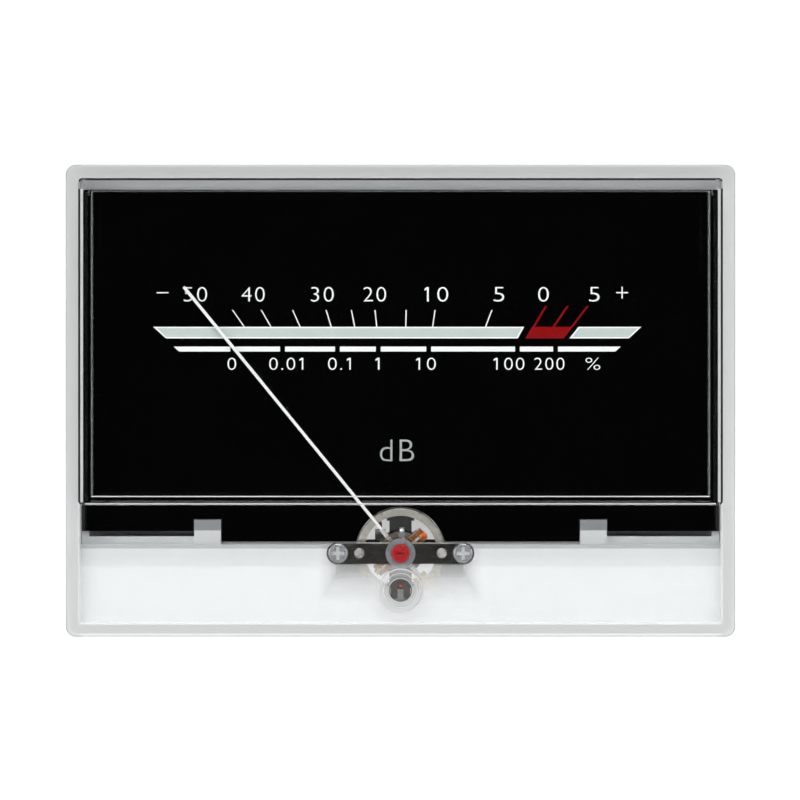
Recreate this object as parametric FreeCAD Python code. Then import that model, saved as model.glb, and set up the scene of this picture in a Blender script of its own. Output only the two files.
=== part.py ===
import FreeCAD, Part

import math
import os

# A backlit panel level meter: a clear front cover with a raised window, a black dial, a white
# moving needle and its moving-coil movement, in a white rear case. Millimetres, +X right,
# +Y away from the viewer, +Z up. Below, Y is counted from the front of the cover's flange.

# Front cover
COVER_WIDTH = 134.0
COVER_HEIGHT = 94.5
COVER_CORNER = 2.0
SKIRT_DEPTH = 14.0
SKIRT_WALL = 2.4
FLANGE_THICKNESS = 2.0
FLANGE_STRIP = 3.0
WINDOW_HEIGHT = 65.0
WINDOW_RISE = 5.0
WINDOW_CORNER = 1.0
WINDOW_GLASS = 2.0
WINDOW_SIDE_WALL = 2.4
WINDOW_FOOT_WALL = 1.6
EDGE_SOFTENING = 0.35

# Rear case
CASE_CLEARANCE = 0.1
CASE_WALL = 1.45
CASE_FRONT = 8.5
CASE_REAR = 24.0
CASE_FLOOR = 1.5
CASE_CORNER = 1.0
CASE_LEDGE = 2.0
TOP_LEDGE = 3.0
TOP_LEDGE_DEPTH = 2.0
PARTITION_TOP = 19.8
PARTITION_THICKNESS = 2.0
ARCH_CLEARANCE = 0.7
ARCH_WALL = 1.4
CATCH_LENGTH = 8.0
CATCH_DEPTH = 0.6
CATCH_FRONT = 10.8
CATCH_WIDTH = 2.2
CATCH_CLEARANCE = 0.1
CATCH_HEIGHTS = (24.0, 72.0)

# Dial plate and the two case tabs that locate it
DIAL_THICKNESS = 1.0
DIAL_SIDE_GAP = 0.7
DIAL_TOP = 89.8
DIAL_FOOT = 18.8
DIAL_SIDE_FOOT = 20.9
DIAL_RING_GAP = 0.3
TAB_X = 39.0
TAB_WIDTH = 5.4
TAB_TOP = 23.2
TAB_FRONT = 7.2
TAB_DEPTH = 3.3
TAB_CLEARANCE = 0.15

# Movement: pivot axis, yoke ring, core and bridges
PIVOT_Z = 16.6
RING_RADIUS = 8.9
RING_WALL = 1.5
RING_FRONT = 6.8
RING_LENGTH = 10.0
CORE_RADIUS = 4.6
CORE_LENGTH = 6.2
CORE_FORWARD = 0.3
CORE_GAP = 0.4
BLOCK_WIDTH = 4.5
BLOCK_FLANGE_WIDTH = 5.6
BLOCK_FLANGE = 1.0
BLOCK_FRONT = 7.2
BRIDGE_THICKNESS = 0.8
BRIDGE_HEIGHT = 4.3
FRONT_BRIDGE_BACK = 5.0
REAR_BRIDGE_FRONT = 18.4
BRIDGE_SCREW_X = 12.6
BRIDGE_SCREW_HEAD = 2.1
BRIDGE_SCREW_HEAD_HEIGHT = 0.9
BRIDGE_SCREW_SHANK = 0.8
BRIDGE_SCREW_LENGTH = 10.0
RECESS_DEPTH = 0.55
RECESS_SPAN = 2.6
RECESS_WIDTH = 0.7
BOSS_RADIUS = 2.0
RIVET_X = 8.3
REAR_BRIDGE_INSET = 1.0
RIVET_HEAD = 1.05
RIVET_HEAD_HEIGHT = 0.35
RIVET_SHOULDER = 0.6
RIVET_SHANK = 0.4
RIVET_TAIL = 1.2
FIT = 0.02
WIDE_FIT = 0.1
SLOT_DEPTH = 0.3
SLOT_HALF_WIDTH = 0.2

# Jewels, pivots and the parts that turn about the pivot axis
JEWEL_SCREW_RADIUS = 1.5
JEWEL_SCREW_HEAD = 1.9
JEWEL_SCREW_HEAD_HEIGHT = 0.8
JEWEL_RADIUS = 0.85
JEWEL_LENGTH = 0.9
JEWEL_CUP = 0.5
JEWEL_SETBACK = 0.2
PIVOT_RADIUS = 0.25
PIVOT_TIP = 0.05
PIVOT_END_PLAY = 0.08
BASE_RADIUS = 2.2
BASE_THICKNESS = 0.65
COLLET_RADIUS = 0.9
RUNNING_CLEARANCE = 0.05
LEVER_THICKNESS = 0.5
LEVER_RING = 3.0
WASHER_THICKNESS = 0.3
WASHER_RADIUS = 2.4
TAB_STRIP_WIDTH = 1.1
TAB_STRIP_X = 0.28
TAB_STRIP_HEIGHT = 5.2
FINGER_HEIGHT = 0.5

# Moving coil, needle and balance
COIL_WIDTH = 2.4
FORMER_THICKNESS = 0.3
WINDING_THICKNESS = 0.8
NEEDLE_ANGLE = -39.2
NEEDLE_LENGTH = 69.2
NEEDLE_RADIUS = 0.32
NEEDLE_WALL = 0.07
NEEDLE_Y = 6.05
SPIGOT_START = 6.0
SPIGOT_LENGTH = 3.4
CROSS_THICKNESS = 0.4
CROSS_HUB = 1.6
CROSS_ARM_WIDTH = 0.9
SIDE_ARM_LENGTH = 6.4
SIDE_WEIGHT_LENGTH = 1.6
SIDE_WEIGHT_RADIUS = 0.55
TAIL_ARM_LENGTH = 8.8
TAIL_WEIGHT_START = 5.8
TAIL_WEIGHT_WIDTH = 2.8
TAIL_WEIGHT_THICKNESS = 1.25
NEEDLE_TRAVEL = 80.0
STOP_PIN_RADIUS = 0.35
STOP_MARGIN = 8.0

# Hairsprings: flat strip wound as half circles
SPRING_INNER = 1.05
SPRING_PITCH = 0.62
SPRING_HALF_TURNS = 10
SPRING_STRIP = 0.12
SPRING_HEIGHT = 0.35
FRONT_SPRING_Y = 5.3
REAR_SPRING_Y = 17.6

# Zero adjuster in the lower front of the cover
ADJUSTER_Z = 9.35
ADJUSTER_COLLAR = 4.45
ADJUSTER_COLLAR_RISE = 1.2
ADJUSTER_HEAD = 3.2
ADJUSTER_HEAD_CLEARANCE = 0.1
ADJUSTER_HEAD_HEIGHT = 1.0
ADJUSTER_NECK = 2.2
ADJUSTER_LIP = 2.45
ADJUSTER_LIP_HEIGHT = 0.5
ADJUSTER_SLOT_WIDTH = 0.8
ADJUSTER_SLOT_DEPTH = 0.5
CRANK_THROW = 0.75
CRANK_PIN = 0.5
CRANK_PIN_OVERRUN = 0.2
FORK_WIDTH = 3.9
FORK_REACH = 1.8
FORK_SHOULDER = 0.6
FORK_CLEARANCE = 0.1

# Lamps on the partition, and their pins through the rear wall
LAMP_X = 32.0
LAMP_PITCH = 8.0
LAMP_LEAD_Y = 15.0
LAMP_LEAD_RADIUS = 0.3
LAMP_LEAD_BEND = 1.4
LAMP_PIN_Z = 15.3
LAMP_PIN_RADIUS = 0.6
LAMP_PIN_COLLAR = 1.1
LAMP_PIN_REACH = 5.0
BOARD_LENGTH = 12.0
BOARD_DEPTH = 8.0
BOARD_THICKNESS = 1.0
LED_SIZE = 5.0
LED_HEIGHT = 1.6

# Terminal studs
STUD_X = 15.0
STUD_Z = 34.0
STUD_RADIUS = 1.5
STUD_END = 35.0
STUD_HEAD_HEIGHT = 2.0
STUD_GROOVE_DEPTH = 0.2
STUD_GROOVE_WIDTH = 0.4
NUT_ACROSS_FLATS = 5.5
NUT_HEIGHT = 2.4
STUD_WASHER = 3.5
STUD_WASHER_THICKNESS = 0.5
TAG_THICKNESS = 0.4
TAG_RADIUS = 3.0
TAG_LENGTH = 7.5
TAG_WIDTH = 2.6
LOCK_NUT_ACROSS_FLATS = 4.5
LOCK_NUT_HEIGHT = 1.1
SCREW_OVERRUN = 0.4
LEAD_RADIUS = 0.35

# Densities in grams per cubic millimetre, for balancing the needle
ALUMINIUM_DENSITY = 0.0027
BRASS_DENSITY = 0.0085

# Sizes that follow from the ones above
HALF_WIDTH = COVER_WIDTH / 2
CAVITY_HALF = HALF_WIDTH - SKIRT_WALL
CAVITY_TOP = COVER_HEIGHT - SKIRT_WALL
WINDOW_HALF = HALF_WIDTH - FLANGE_STRIP
WINDOW_TOP = COVER_HEIGHT - FLANGE_STRIP
WINDOW_FOOT = WINDOW_TOP - WINDOW_HEIGHT
CASE_HALF = CAVITY_HALF - CASE_CLEARANCE
CASE_BOTTOM = SKIRT_WALL + CASE_CLEARANCE
CASE_TOP = CAVITY_TOP - CASE_CLEARANCE
CASE_BACK_WALL = CASE_REAR - CASE_FLOOR
PARTITION_FOOT = PARTITION_TOP - PARTITION_THICKNESS
DIAL_FRONT = CASE_FRONT - DIAL_THICKNESS
DIAL_HALF = CAVITY_HALF - DIAL_SIDE_GAP
RING_BORE = RING_RADIUS - RING_WALL
RING_BACK = RING_FRONT + RING_LENGTH
RING_MIDDLE = RING_RADIUS - RING_WALL / 2
ARCH_BORE = RING_RADIUS + ARCH_CLEARANCE
BRIDGE_FRONT = FRONT_BRIDGE_BACK - BRIDGE_THICKNESS
REAR_BRIDGE_BACK = REAR_BRIDGE_FRONT + BRIDGE_THICKNESS
LEVER_BACK = BRIDGE_FRONT - WASHER_THICKNESS
LEVER_FRONT = LEVER_BACK - LEVER_THICKNESS
CORE_FRONT = RING_FRONT + 0.5 * (RING_LENGTH - CORE_LENGTH) - CORE_FORWARD
CORE_BACK = CORE_FRONT + CORE_LENGTH
FORMER_HALF = CORE_RADIUS + CORE_GAP + FORMER_THICKNESS
FORMER_FRONT = CORE_FRONT - CORE_GAP - FORMER_THICKNESS
FORMER_BACK = CORE_BACK + CORE_GAP + FORMER_THICKNESS
COIL_HALF = FORMER_HALF + WINDING_THICKNESS
COIL_FRONT = FORMER_FRONT - WINDING_THICKNESS
COIL_BACK = FORMER_BACK + WINDING_THICKNESS
COIL_ANGLE = NEEDLE_ANGLE + 90
SPRING_OUTER = SPRING_INNER + SPRING_PITCH * SPRING_HALF_TURNS / 2
STUD_TAG_FRONT = CASE_BACK_WALL - TAG_THICKNESS
FIRST_NUT_BACK = CASE_REAR + STUD_WASHER_THICKNESS + NUT_HEIGHT
SECOND_NUT_FRONT = FIRST_NUT_BACK + TAG_THICKNESS
SECOND_NUT_BACK = SECOND_NUT_FRONT + NUT_HEIGHT
OVERALL_FRONT = -WINDOW_RISE
MIDDLE_Y = (OVERALL_FRONT + STUD_END) / 2
ALONG_Y = FreeCAD.Vector(0, 1, 0)


def point(x, y, z):
    return FreeCAD.Vector(x, y, z)


def block(x_low, x_high, y_low, y_high, z_low, z_high):
    """A plain rectangular block between two corners."""
    size = (x_high - x_low, y_high - y_low, z_high - z_low)
    return Part.makeBox(*size, point(x_low, y_low, z_low))


def rod(radius, y_low, y_high, x=0.0, z=PIVOT_Z):
    """A cylinder that runs front to back."""
    return Part.makeCylinder(radius, y_high - y_low, point(x, y_low, z), ALONG_Y)


def cone(radius_front, radius_back, y_low, y_high, x=0.0, z=PIVOT_Z):
    """A cone frustum that runs front to back."""
    return Part.makeCone(radius_front, radius_back, y_high - y_low, point(x, y_low, z), ALONG_Y)


def ring(outer, inner, y_low, y_high, x=0.0, z=PIVOT_Z):
    """A flat ring or a tube that runs front to back."""
    return rod(outer, y_low, y_high, x, z).cut(rod(inner, y_low, y_high, x, z))


def outline_slab(corners, y_low, y_high):
    """A plate with straight edges between (x, z) corners."""
    points = [point(x, y_low, z) for x, z in corners]
    wire = Part.makePolygon(points + points[:1])
    return Part.Face(wire).extrude(ALONG_Y * (y_high - y_low))


def edges_along_y(shape):
    """The straight edges of a shape that run front to back."""
    found = []
    for edge in shape.Edges:
        ends = [vertex.Point for vertex in edge.Vertexes]
        if len(ends) == 2 and abs(abs((ends[1] - ends[0]).y) - edge.Length) < 1e-6:
            found.append(edge)
    return found


def rounded_slab(x_half, z_low, z_high, radius, y_low, y_high):
    """A block whose four front-to-back edges are rounded."""
    shape = block(-x_half, x_half, y_low, y_high, z_low, z_high)
    return shape.makeFillet(radius, edges_along_y(shape))


def front_edges(shape, y):
    """The edges of a shape that lie in the plane at y."""
    return [edge for edge in shape.Edges if all(abs(vertex.Y - y) < 1e-6 for vertex in edge.Vertexes)
            and abs(edge.BoundBox.YLength) < 1e-6]


def turned(shape, angle):
    """A copy turned about the pivot axis, clockwise as the viewer sees it."""
    copy = shape.copy()
    copy.rotate(point(0, 0, PIVOT_Z), ALONG_Y, angle)
    return copy


def hexagon(across_flats, y_low, y_high, x, z):
    """A hexagonal prism that runs front to back, with two flats level."""
    radius = across_flats / math.sqrt(3)
    turns = [math.radians(60 * step) for step in range(6)]
    corners = [(x + radius * math.cos(turn), z + radius * math.sin(turn)) for turn in turns]
    return outline_slab(corners, y_low, y_high)


def nut(across_flats, bore, y_low, y_high, x, z):
    """A hexagonal nut with its corners turned down at both ends."""
    height = y_high - y_low
    corner = across_flats / math.sqrt(3)
    flare = height * 2
    rounding = cone(across_flats / 2, across_flats / 2 + flare, y_low, y_low + flare, x, z)
    other = cone(across_flats / 2 + flare, across_flats / 2, y_high - flare, y_high, x, z)
    body = hexagon(across_flats, y_low, y_high, x, z).common(rounding).common(other)
    body = body.common(rod(corner, y_low, y_high, x, z))
    return body.cut(rod(bore, y_low, y_high, x, z))


def rounded_path(points):
    """Straight runs joined by tangent arcs, each as large as its two runs allow."""
    edges = []
    radii = []
    start = points[0]
    for before, corner, after in zip(points, points[1:], points[2:]):
        back = before - corner
        ahead = after - corner
        turn = math.pi - back.getAngle(ahead)
        reach = 0.45 * min(back.Length, ahead.Length)
        radius = reach / math.tan(turn / 2)
        back.normalize()
        ahead.normalize()
        leave = corner + back * reach
        join = corner + ahead * reach
        inward = (back + ahead).normalize()
        middle = corner + inward * (radius / math.cos(turn / 2) - radius)
        edges.append(Part.LineSegment(start, leave).toShape())
        edges.append(Part.Arc(leave, middle, join).toShape())
        radii.append(radius)
        start = join
    edges.append(Part.LineSegment(start, points[-1]).toShape())
    return Part.Wire(edges), radii


def wire_along(path, radius):
    """A round wire swept along a path."""
    start = path.Edges[0]
    origin = start.valueAt(start.FirstParameter)
    direction = start.tangentAt(start.FirstParameter)
    profile = Part.Wire([Part.makeCircle(radius, origin, direction)])
    return path.makePipeShell([profile], True, False)


def save(node, *solids):
    """Write one sub-part, with the object's middle brought to Y = 0."""
    shape = solids[0] if len(solids) == 1 else Part.makeCompound(list(solids))
    shape = shape.copy()
    shape.translate(point(0, -MIDDLE_Y, 0))
    shape.exportStep(f"parts/{node}.step")


def both_sides(maker):
    """The same piece made at the left and at the right."""
    return [maker(side) for side in (-1, 1)]


def front_cover():
    """Clear cover: skirt, flange, raised window and the collar round the zero adjuster."""
    shell = rounded_slab(HALF_WIDTH, 0, COVER_HEIGHT, COVER_CORNER, 0, SKIRT_DEPTH)
    window = rounded_slab(WINDOW_HALF, WINDOW_FOOT, WINDOW_TOP, WINDOW_CORNER, -WINDOW_RISE, 1)
    window = window.makeChamfer(EDGE_SOFTENING, front_edges(window, -WINDOW_RISE))
    shell = shell.makeChamfer(EDGE_SOFTENING, front_edges(shell, 0))
    collar = rod(ADJUSTER_COLLAR, -ADJUSTER_COLLAR_RISE, 1, z=ADJUSTER_Z)
    shell = shell.fuse([window, collar])
    cavity = rounded_slab(CAVITY_HALF, SKIRT_WALL, CAVITY_TOP, COVER_CORNER / 2,
                          FLANGE_THICKNESS, SKIRT_DEPTH)
    room = rounded_slab(WINDOW_HALF - WINDOW_SIDE_WALL, WINDOW_FOOT + WINDOW_FOOT_WALL,
                        WINDOW_TOP - WINDOW_SIDE_WALL, WINDOW_CORNER / 2,
                        WINDOW_GLASS - WINDOW_RISE, FLANGE_THICKNESS)
    pocket = rod(ADJUSTER_HEAD + ADJUSTER_HEAD_CLEARANCE, -ADJUSTER_COLLAR_RISE, 0, z=ADJUSTER_Z)
    bore = rod(ADJUSTER_NECK + RUNNING_CLEARANCE, 0, FLANGE_THICKNESS, z=ADJUSTER_Z)
    cuts = [cavity, room, pocket, bore]
    reach = CASE_HALF + CATCH_DEPTH + CATCH_CLEARANCE
    for height in CATCH_HEIGHTS:
        cuts.append(block(-reach, reach, CATCH_FRONT - CATCH_CLEARANCE,
                          CATCH_FRONT + CATCH_WIDTH + CATCH_CLEARANCE,
                          height - CATCH_LENGTH / 2 - CATCH_CLEARANCE,
                          height + CATCH_LENGTH / 2 + CATCH_CLEARANCE))
    return shell.cut(cuts).removeSplitter()


def zero_adjuster():
    """Clear slotted screw in the collar, with a crank pin behind."""
    head = rod(ADJUSTER_HEAD, -ADJUSTER_HEAD_HEIGHT, -RUNNING_CLEARANCE, z=ADJUSTER_Z)
    lip_front = FLANGE_THICKNESS + RUNNING_CLEARANCE
    lip_back = lip_front + ADJUSTER_LIP_HEIGHT
    neck = rod(ADJUSTER_NECK, -ADJUSTER_HEAD_HEIGHT / 2, lip_front, z=ADJUSTER_Z)
    lip = cone(ADJUSTER_LIP, ADJUSTER_NECK, lip_front, lip_back, z=ADJUSTER_Z)
    pin = rod(CRANK_PIN, lip_front, LEVER_BACK + CRANK_PIN_OVERRUN, z=ADJUSTER_Z + CRANK_THROW)
    slot = block(-ADJUSTER_SLOT_WIDTH / 2, ADJUSTER_SLOT_WIDTH / 2,
                 -ADJUSTER_HEAD_HEIGHT, ADJUSTER_SLOT_DEPTH - ADJUSTER_HEAD_HEIGHT,
                 ADJUSTER_Z - ADJUSTER_NECK, ADJUSTER_Z + ADJUSTER_NECK)
    return head.fuse([neck, lip, pin]).cut(slot).removeSplitter()


def rear_case():
    """White case: walls, ledge for the cover, partition, arch, tabs, bosses and catches."""
    body = rounded_slab(CASE_HALF, CASE_BOTTOM, CASE_TOP, CASE_CORNER, CASE_FRONT, CASE_REAR)
    ledge = rounded_slab(HALF_WIDTH, 0, COVER_HEIGHT, COVER_CORNER,
                         SKIRT_DEPTH, SKIRT_DEPTH + CASE_LEDGE)
    inner_half = CASE_HALF - CASE_WALL
    partition = block(-inner_half, inner_half, CASE_FRONT + CASE_CLEARANCE, CASE_REAR - 1,
                      PARTITION_FOOT, PARTITION_TOP)
    lintel = block(-inner_half, inner_half, CASE_FRONT, CASE_FRONT + TOP_LEDGE_DEPTH,
                   CASE_TOP - TOP_LEDGE, CASE_TOP)
    arch = rod(ARCH_BORE + ARCH_WALL, CASE_FRONT + CASE_CLEARANCE, CASE_REAR - 1)
    arch = arch.common(block(-inner_half, inner_half, CASE_FRONT, CASE_REAR,
                             PARTITION_FOOT, COVER_HEIGHT))
    additions = [partition, lintel, arch]
    for side in (-1, 1):
        edges = sorted((side * (TAB_X - TAB_WIDTH / 2), side * (TAB_X + TAB_WIDTH / 2)))
        additions.append(block(edges[0], edges[1], TAB_FRONT, TAB_FRONT + TAB_DEPTH,
                               PARTITION_FOOT, TAB_TOP))
    room = rounded_slab(inner_half, CASE_BOTTOM + CASE_WALL, CASE_TOP - CASE_WALL,
                        CASE_CORNER / 2, CASE_FRONT, CASE_BACK_WALL)
    body = body.fuse(ledge).cut(room).fuse(additions)
    body = body.cut(rod(ARCH_BORE, CASE_FRONT, CASE_BACK_WALL))
    body = body.fuse(both_sides(
        lambda side: rod(BOSS_RADIUS, FRONT_BRIDGE_BACK, CASE_REAR - 1, side * BRIDGE_SCREW_X)))
    for height in CATCH_HEIGHTS:
        reach = CASE_HALF + CATCH_DEPTH
        catch = block(-reach, reach, CATCH_FRONT, CATCH_FRONT + CATCH_WIDTH,
                      height - CATCH_LENGTH / 2, height + CATCH_LENGTH / 2)
        inside = block(-inner_half, inner_half, CATCH_FRONT, CATCH_FRONT + CATCH_WIDTH,
                       height - CATCH_LENGTH / 2, height + CATCH_LENGTH / 2)
        body = body.fuse(catch.cut(inside))
    return body.cut(case_holes()).removeSplitter()


def case_holes():
    """Holes for the bridge screws, studs, lamp pins and leads, and the slot in the arch."""
    holes = []
    for side in (-1, 1):
        screw_end = FRONT_BRIDGE_BACK + BRIDGE_SCREW_LENGTH
        holes.append(rod(BRIDGE_SCREW_SHANK + FIT, FRONT_BRIDGE_BACK, screw_end,
                         side * BRIDGE_SCREW_X))
        holes.append(rod(STUD_RADIUS + FIT, CASE_BACK_WALL, CASE_REAR, side * STUD_X, STUD_Z))
        for x in lamp_pin_places(side):
            holes.append(rod(LAMP_PIN_RADIUS + FIT, CASE_BACK_WALL, CASE_REAR, x, LAMP_PIN_Z))
            holes.append(Part.makeCylinder(LAMP_LEAD_RADIUS + CASE_CLEARANCE, TAB_TOP,
                                           point(x, LAMP_LEAD_Y, PARTITION_FOOT - 1)))
    top = PIVOT_Z + ARCH_BORE + ARCH_WALL
    holes.append(block(-STUD_X / 2, STUD_X / 2, REAR_BRIDGE_FRONT, CASE_BACK_WALL,
                       PARTITION_TOP, top))
    return holes


def dial_plate():
    """Black printed plate with two notches for the case tabs and a cut-out for the movement."""
    notch_in = TAB_X - TAB_WIDTH / 2 - TAB_CLEARANCE
    notch_out = TAB_X + TAB_WIDTH / 2 + TAB_CLEARANCE
    notch_top = TAB_TOP + TAB_CLEARANCE
    right = [(notch_in, DIAL_FOOT), (notch_in, notch_top), (notch_out, notch_top),
             (notch_out, DIAL_SIDE_FOOT), (DIAL_HALF, DIAL_SIDE_FOOT), (DIAL_HALF, DIAL_TOP)]
    left = [(-x, z) for x, z in reversed(right)]
    plate = outline_slab(right + left, DIAL_FRONT, CASE_FRONT)
    return plate.cut(rod(RING_RADIUS + DIAL_RING_GAP, DIAL_FRONT, CASE_FRONT))


def yoke_ring():
    """Soft-iron ring round the coil, drilled for the rivets and the two stop pins."""
    body = ring(RING_RADIUS, RING_BORE, RING_FRONT, RING_BACK)
    holes = []
    for side in (-1, 1):
        for y_low in (RING_FRONT, RING_BACK - RIVET_TAIL):
            holes.append(rod(RIVET_SHANK + FIT, y_low, y_low + RIVET_TAIL, side * RIVET_X))
    for angle in stop_angles():
        pin = rod(STOP_PIN_RADIUS + FIT, RING_FRONT, RING_FRONT + RIVET_TAIL,
                  z=PIVOT_Z + RING_MIDDLE)
        holes.append(turned(pin, angle))
    return body.cut(holes)


def stop_angles():
    """Where the stop pins stand, so that the tail weight meets them just past its travel."""
    weight = math.degrees(math.asin(TAIL_WEIGHT_WIDTH / 2 / RING_MIDDLE))
    pin = math.degrees(math.asin(STOP_PIN_RADIUS / RING_MIDDLE))
    tail = NEEDLE_ANGLE + 180
    room = weight + pin + STOP_MARGIN
    return (tail - room, tail + NEEDLE_TRAVEL + room)


def stop_pins():
    """Two pins in the ring's front edge that stop the tail weight."""
    pin = rod(STOP_PIN_RADIUS, FRONT_BRIDGE_BACK + WIDE_FIT, RING_FRONT + RIVET_TAIL,
              z=PIVOT_Z + RING_MIDDLE)
    return [turned(pin, angle) for angle in stop_angles()]


def core_magnet():
    """Round magnet in the middle of the coil, with softened ends."""
    core = rod(CORE_RADIUS, CORE_FRONT, CORE_BACK)
    return core.makeChamfer(EDGE_SOFTENING, core.Edges[0:1] + core.Edges[2:3])


def magnet_blocks():
    """Two T-shaped plastic blocks that hold the core inside the ring, above and below."""
    bodies = []
    shell = ring(RING_BORE - FIT, CORE_RADIUS + FIT, BLOCK_FRONT, CORE_BACK)
    for turn in (0, 180):
        stem = block(-BLOCK_WIDTH / 2, BLOCK_WIDTH / 2, BLOCK_FRONT, CORE_BACK,
                     PIVOT_Z, PIVOT_Z + RING_BORE)
        flange = block(-BLOCK_FLANGE_WIDTH / 2, BLOCK_FLANGE_WIDTH / 2, BLOCK_FRONT, CORE_BACK,
                       PIVOT_Z + RING_BORE - BLOCK_FLANGE, PIVOT_Z + RING_BORE)
        bodies.append(turned(stem.fuse(flange).common(shell).removeSplitter(), turn))
    return bodies


def strap(half_length, y_low, y_high, centre_bore):
    """A flat bar with round ends, a bore in the middle and two rivet holes."""
    half_height = BRIDGE_HEIGHT / 2
    bar = block(-half_length, half_length, y_low, y_high, PIVOT_Z - half_height,
                PIVOT_Z + half_height)
    ends = [rod(half_height, y_low, y_high, side * half_length) for side in (-1, 1)]
    holes = [rod(RIVET_SHANK + FIT, y_low, y_high, side * RIVET_X) for side in (-1, 1)]
    return bar.fuse(ends).removeSplitter().cut(holes + [rod(centre_bore, y_low, y_high)])


def front_bridge():
    """Front strap, which carries the movement on the case bosses."""
    bar = strap(BRIDGE_SCREW_X, BRIDGE_FRONT, FRONT_BRIDGE_BACK, JEWEL_SCREW_RADIUS + FIT)
    holes = both_sides(lambda side: rod(BRIDGE_SCREW_SHANK + CASE_CLEARANCE, BRIDGE_FRONT,
                                        FRONT_BRIDGE_BACK, side * BRIDGE_SCREW_X))
    return bar.cut(holes)


def rear_bridge():
    """Rear strap, riveted to the back of the ring, with a tag for a lead."""
    bar = strap(RIVET_X - REAR_BRIDGE_INSET, REAR_BRIDGE_FRONT, REAR_BRIDGE_BACK,
                JEWEL_SCREW_RADIUS + FIT)
    tag = block(-RIVET_X / 2 - TAB_STRIP_WIDTH, -RIVET_X / 2 + TAB_STRIP_WIDTH,
                REAR_BRIDGE_FRONT, REAR_BRIDGE_BACK, PIVOT_Z, PIVOT_Z + BRIDGE_HEIGHT)
    return bar.fuse(tag).removeSplitter()


def bridge_screws():
    """Cross-recess screws that fix the front strap to the case bosses."""
    screws = []
    for side in (-1, 1):
        x = side * BRIDGE_SCREW_X
        head_front = BRIDGE_FRONT - BRIDGE_SCREW_HEAD_HEIGHT
        head = rod(BRIDGE_SCREW_HEAD, head_front, BRIDGE_FRONT, x)
        head = head.makeFillet(BRIDGE_SCREW_HEAD_HEIGHT / 2, front_edges(head, head_front))
        shank = rod(BRIDGE_SCREW_SHANK, BRIDGE_FRONT, FRONT_BRIDGE_BACK + BRIDGE_SCREW_LENGTH, x)
        recess_back = head_front + RECESS_DEPTH
        wide = RECESS_SPAN / 2
        narrow = RECESS_WIDTH / 2
        across = block(x - wide, x + wide, head_front, recess_back,
                       PIVOT_Z - narrow, PIVOT_Z + narrow)
        upright = block(x - narrow, x + narrow, head_front, recess_back,
                        PIVOT_Z - wide, PIVOT_Z + wide)
        screws.append(head.fuse(shank).cut([across, upright]).removeSplitter())
    return screws


def shouldered_rivets(outer_face, inner_face, ring_face):
    """Two rivets through a strap, with a shoulder that spaces it from the ring."""
    outward = math.copysign(1, outer_face - inner_face)
    rivets = []
    for side in (-1, 1):
        x = side * RIVET_X
        head_end = outer_face + outward * RIVET_HEAD_HEIGHT
        head = rod(RIVET_HEAD, min(outer_face, head_end), max(outer_face, head_end), x)
        head = head.makeChamfer(RIVET_HEAD_HEIGHT / 2, front_edges(head, head_end))
        tail_end = ring_face - outward * RIVET_TAIL
        shank = rod(RIVET_SHANK, min(outer_face, tail_end), max(outer_face, tail_end), x)
        shoulder = rod(RIVET_SHOULDER, min(inner_face, ring_face), max(inner_face, ring_face), x)
        rivets.append(head.fuse([shank, shoulder]).removeSplitter())
    return rivets


def front_jewel_screw():
    """Lacquered screw that holds the front jewel, with a slot in its head."""
    head_front = LEVER_FRONT - RUNNING_CLEARANCE - JEWEL_SCREW_HEAD_HEIGHT
    head_back = head_front + JEWEL_SCREW_HEAD_HEIGHT
    end = FRONT_BRIDGE_BACK + RUNNING_CLEARANCE
    head = rod(JEWEL_SCREW_HEAD, head_front, head_back)
    head = head.makeFillet(JEWEL_SCREW_HEAD_HEIGHT / 3, front_edges(head, head_front))
    shank = rod(JEWEL_SCREW_RADIUS, head_back, end)
    seat = rod(JEWEL_RADIUS + FIT, jewel_back() - JEWEL_LENGTH, end)
    slot = block(-JEWEL_RADIUS, JEWEL_RADIUS, head_front, head_front + SLOT_DEPTH,
                 PIVOT_Z - SLOT_HALF_WIDTH, PIVOT_Z + SLOT_HALF_WIDTH)
    return head.fuse(shank).cut([seat, slot]).removeSplitter()


def jewel_back():
    """The open face of the front jewel."""
    return FRONT_BRIDGE_BACK - JEWEL_SETBACK


def rear_jewel_front():
    """The open face of the rear jewel."""
    return REAR_BRIDGE_FRONT + JEWEL_SETBACK


def front_jewel():
    """Cup jewel, its cup towards the pivot."""
    back = jewel_back()
    body = rod(JEWEL_RADIUS, back - JEWEL_LENGTH, back)
    return body.cut(cone(PIVOT_TIP, JEWEL_CUP, back - JEWEL_CUP, back))


def rear_jewel():
    """Cup jewel at the back."""
    front = rear_jewel_front()
    body = rod(JEWEL_RADIUS, front, front + JEWEL_LENGTH)
    return body.cut(cone(JEWEL_CUP, PIVOT_TIP, front, front + JEWEL_CUP))


def friction_washer():
    """Washer that holds the zero lever where it is set."""
    return ring(WASHER_RADIUS, JEWEL_SCREW_RADIUS + FIT, LEVER_BACK, BRIDGE_FRONT)


def spring_finger(y_low, y_high):
    """The bent end of a lug, to which a hairspring's outer end is soldered."""
    foot = PIVOT_Z + SPRING_OUTER + SPRING_STRIP / 2 + FIT
    return block(TAB_STRIP_X - TAB_STRIP_WIDTH / 2, TAB_STRIP_X + TAB_STRIP_WIDTH / 2,
                 y_low, y_high, foot, foot + FINGER_HEIGHT)


def lug(y_low, y_high, bore):
    """A ring on the jewel screw with a tab that stands up from it."""
    tab = block(TAB_STRIP_X - TAB_STRIP_WIDTH / 2, TAB_STRIP_X + TAB_STRIP_WIDTH / 2,
                y_low, y_high, PIVOT_Z, PIVOT_Z + TAB_STRIP_HEIGHT)
    return rod(LEVER_RING, y_low, y_high).fuse(tab).cut(rod(bore, y_low, y_high))


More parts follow.
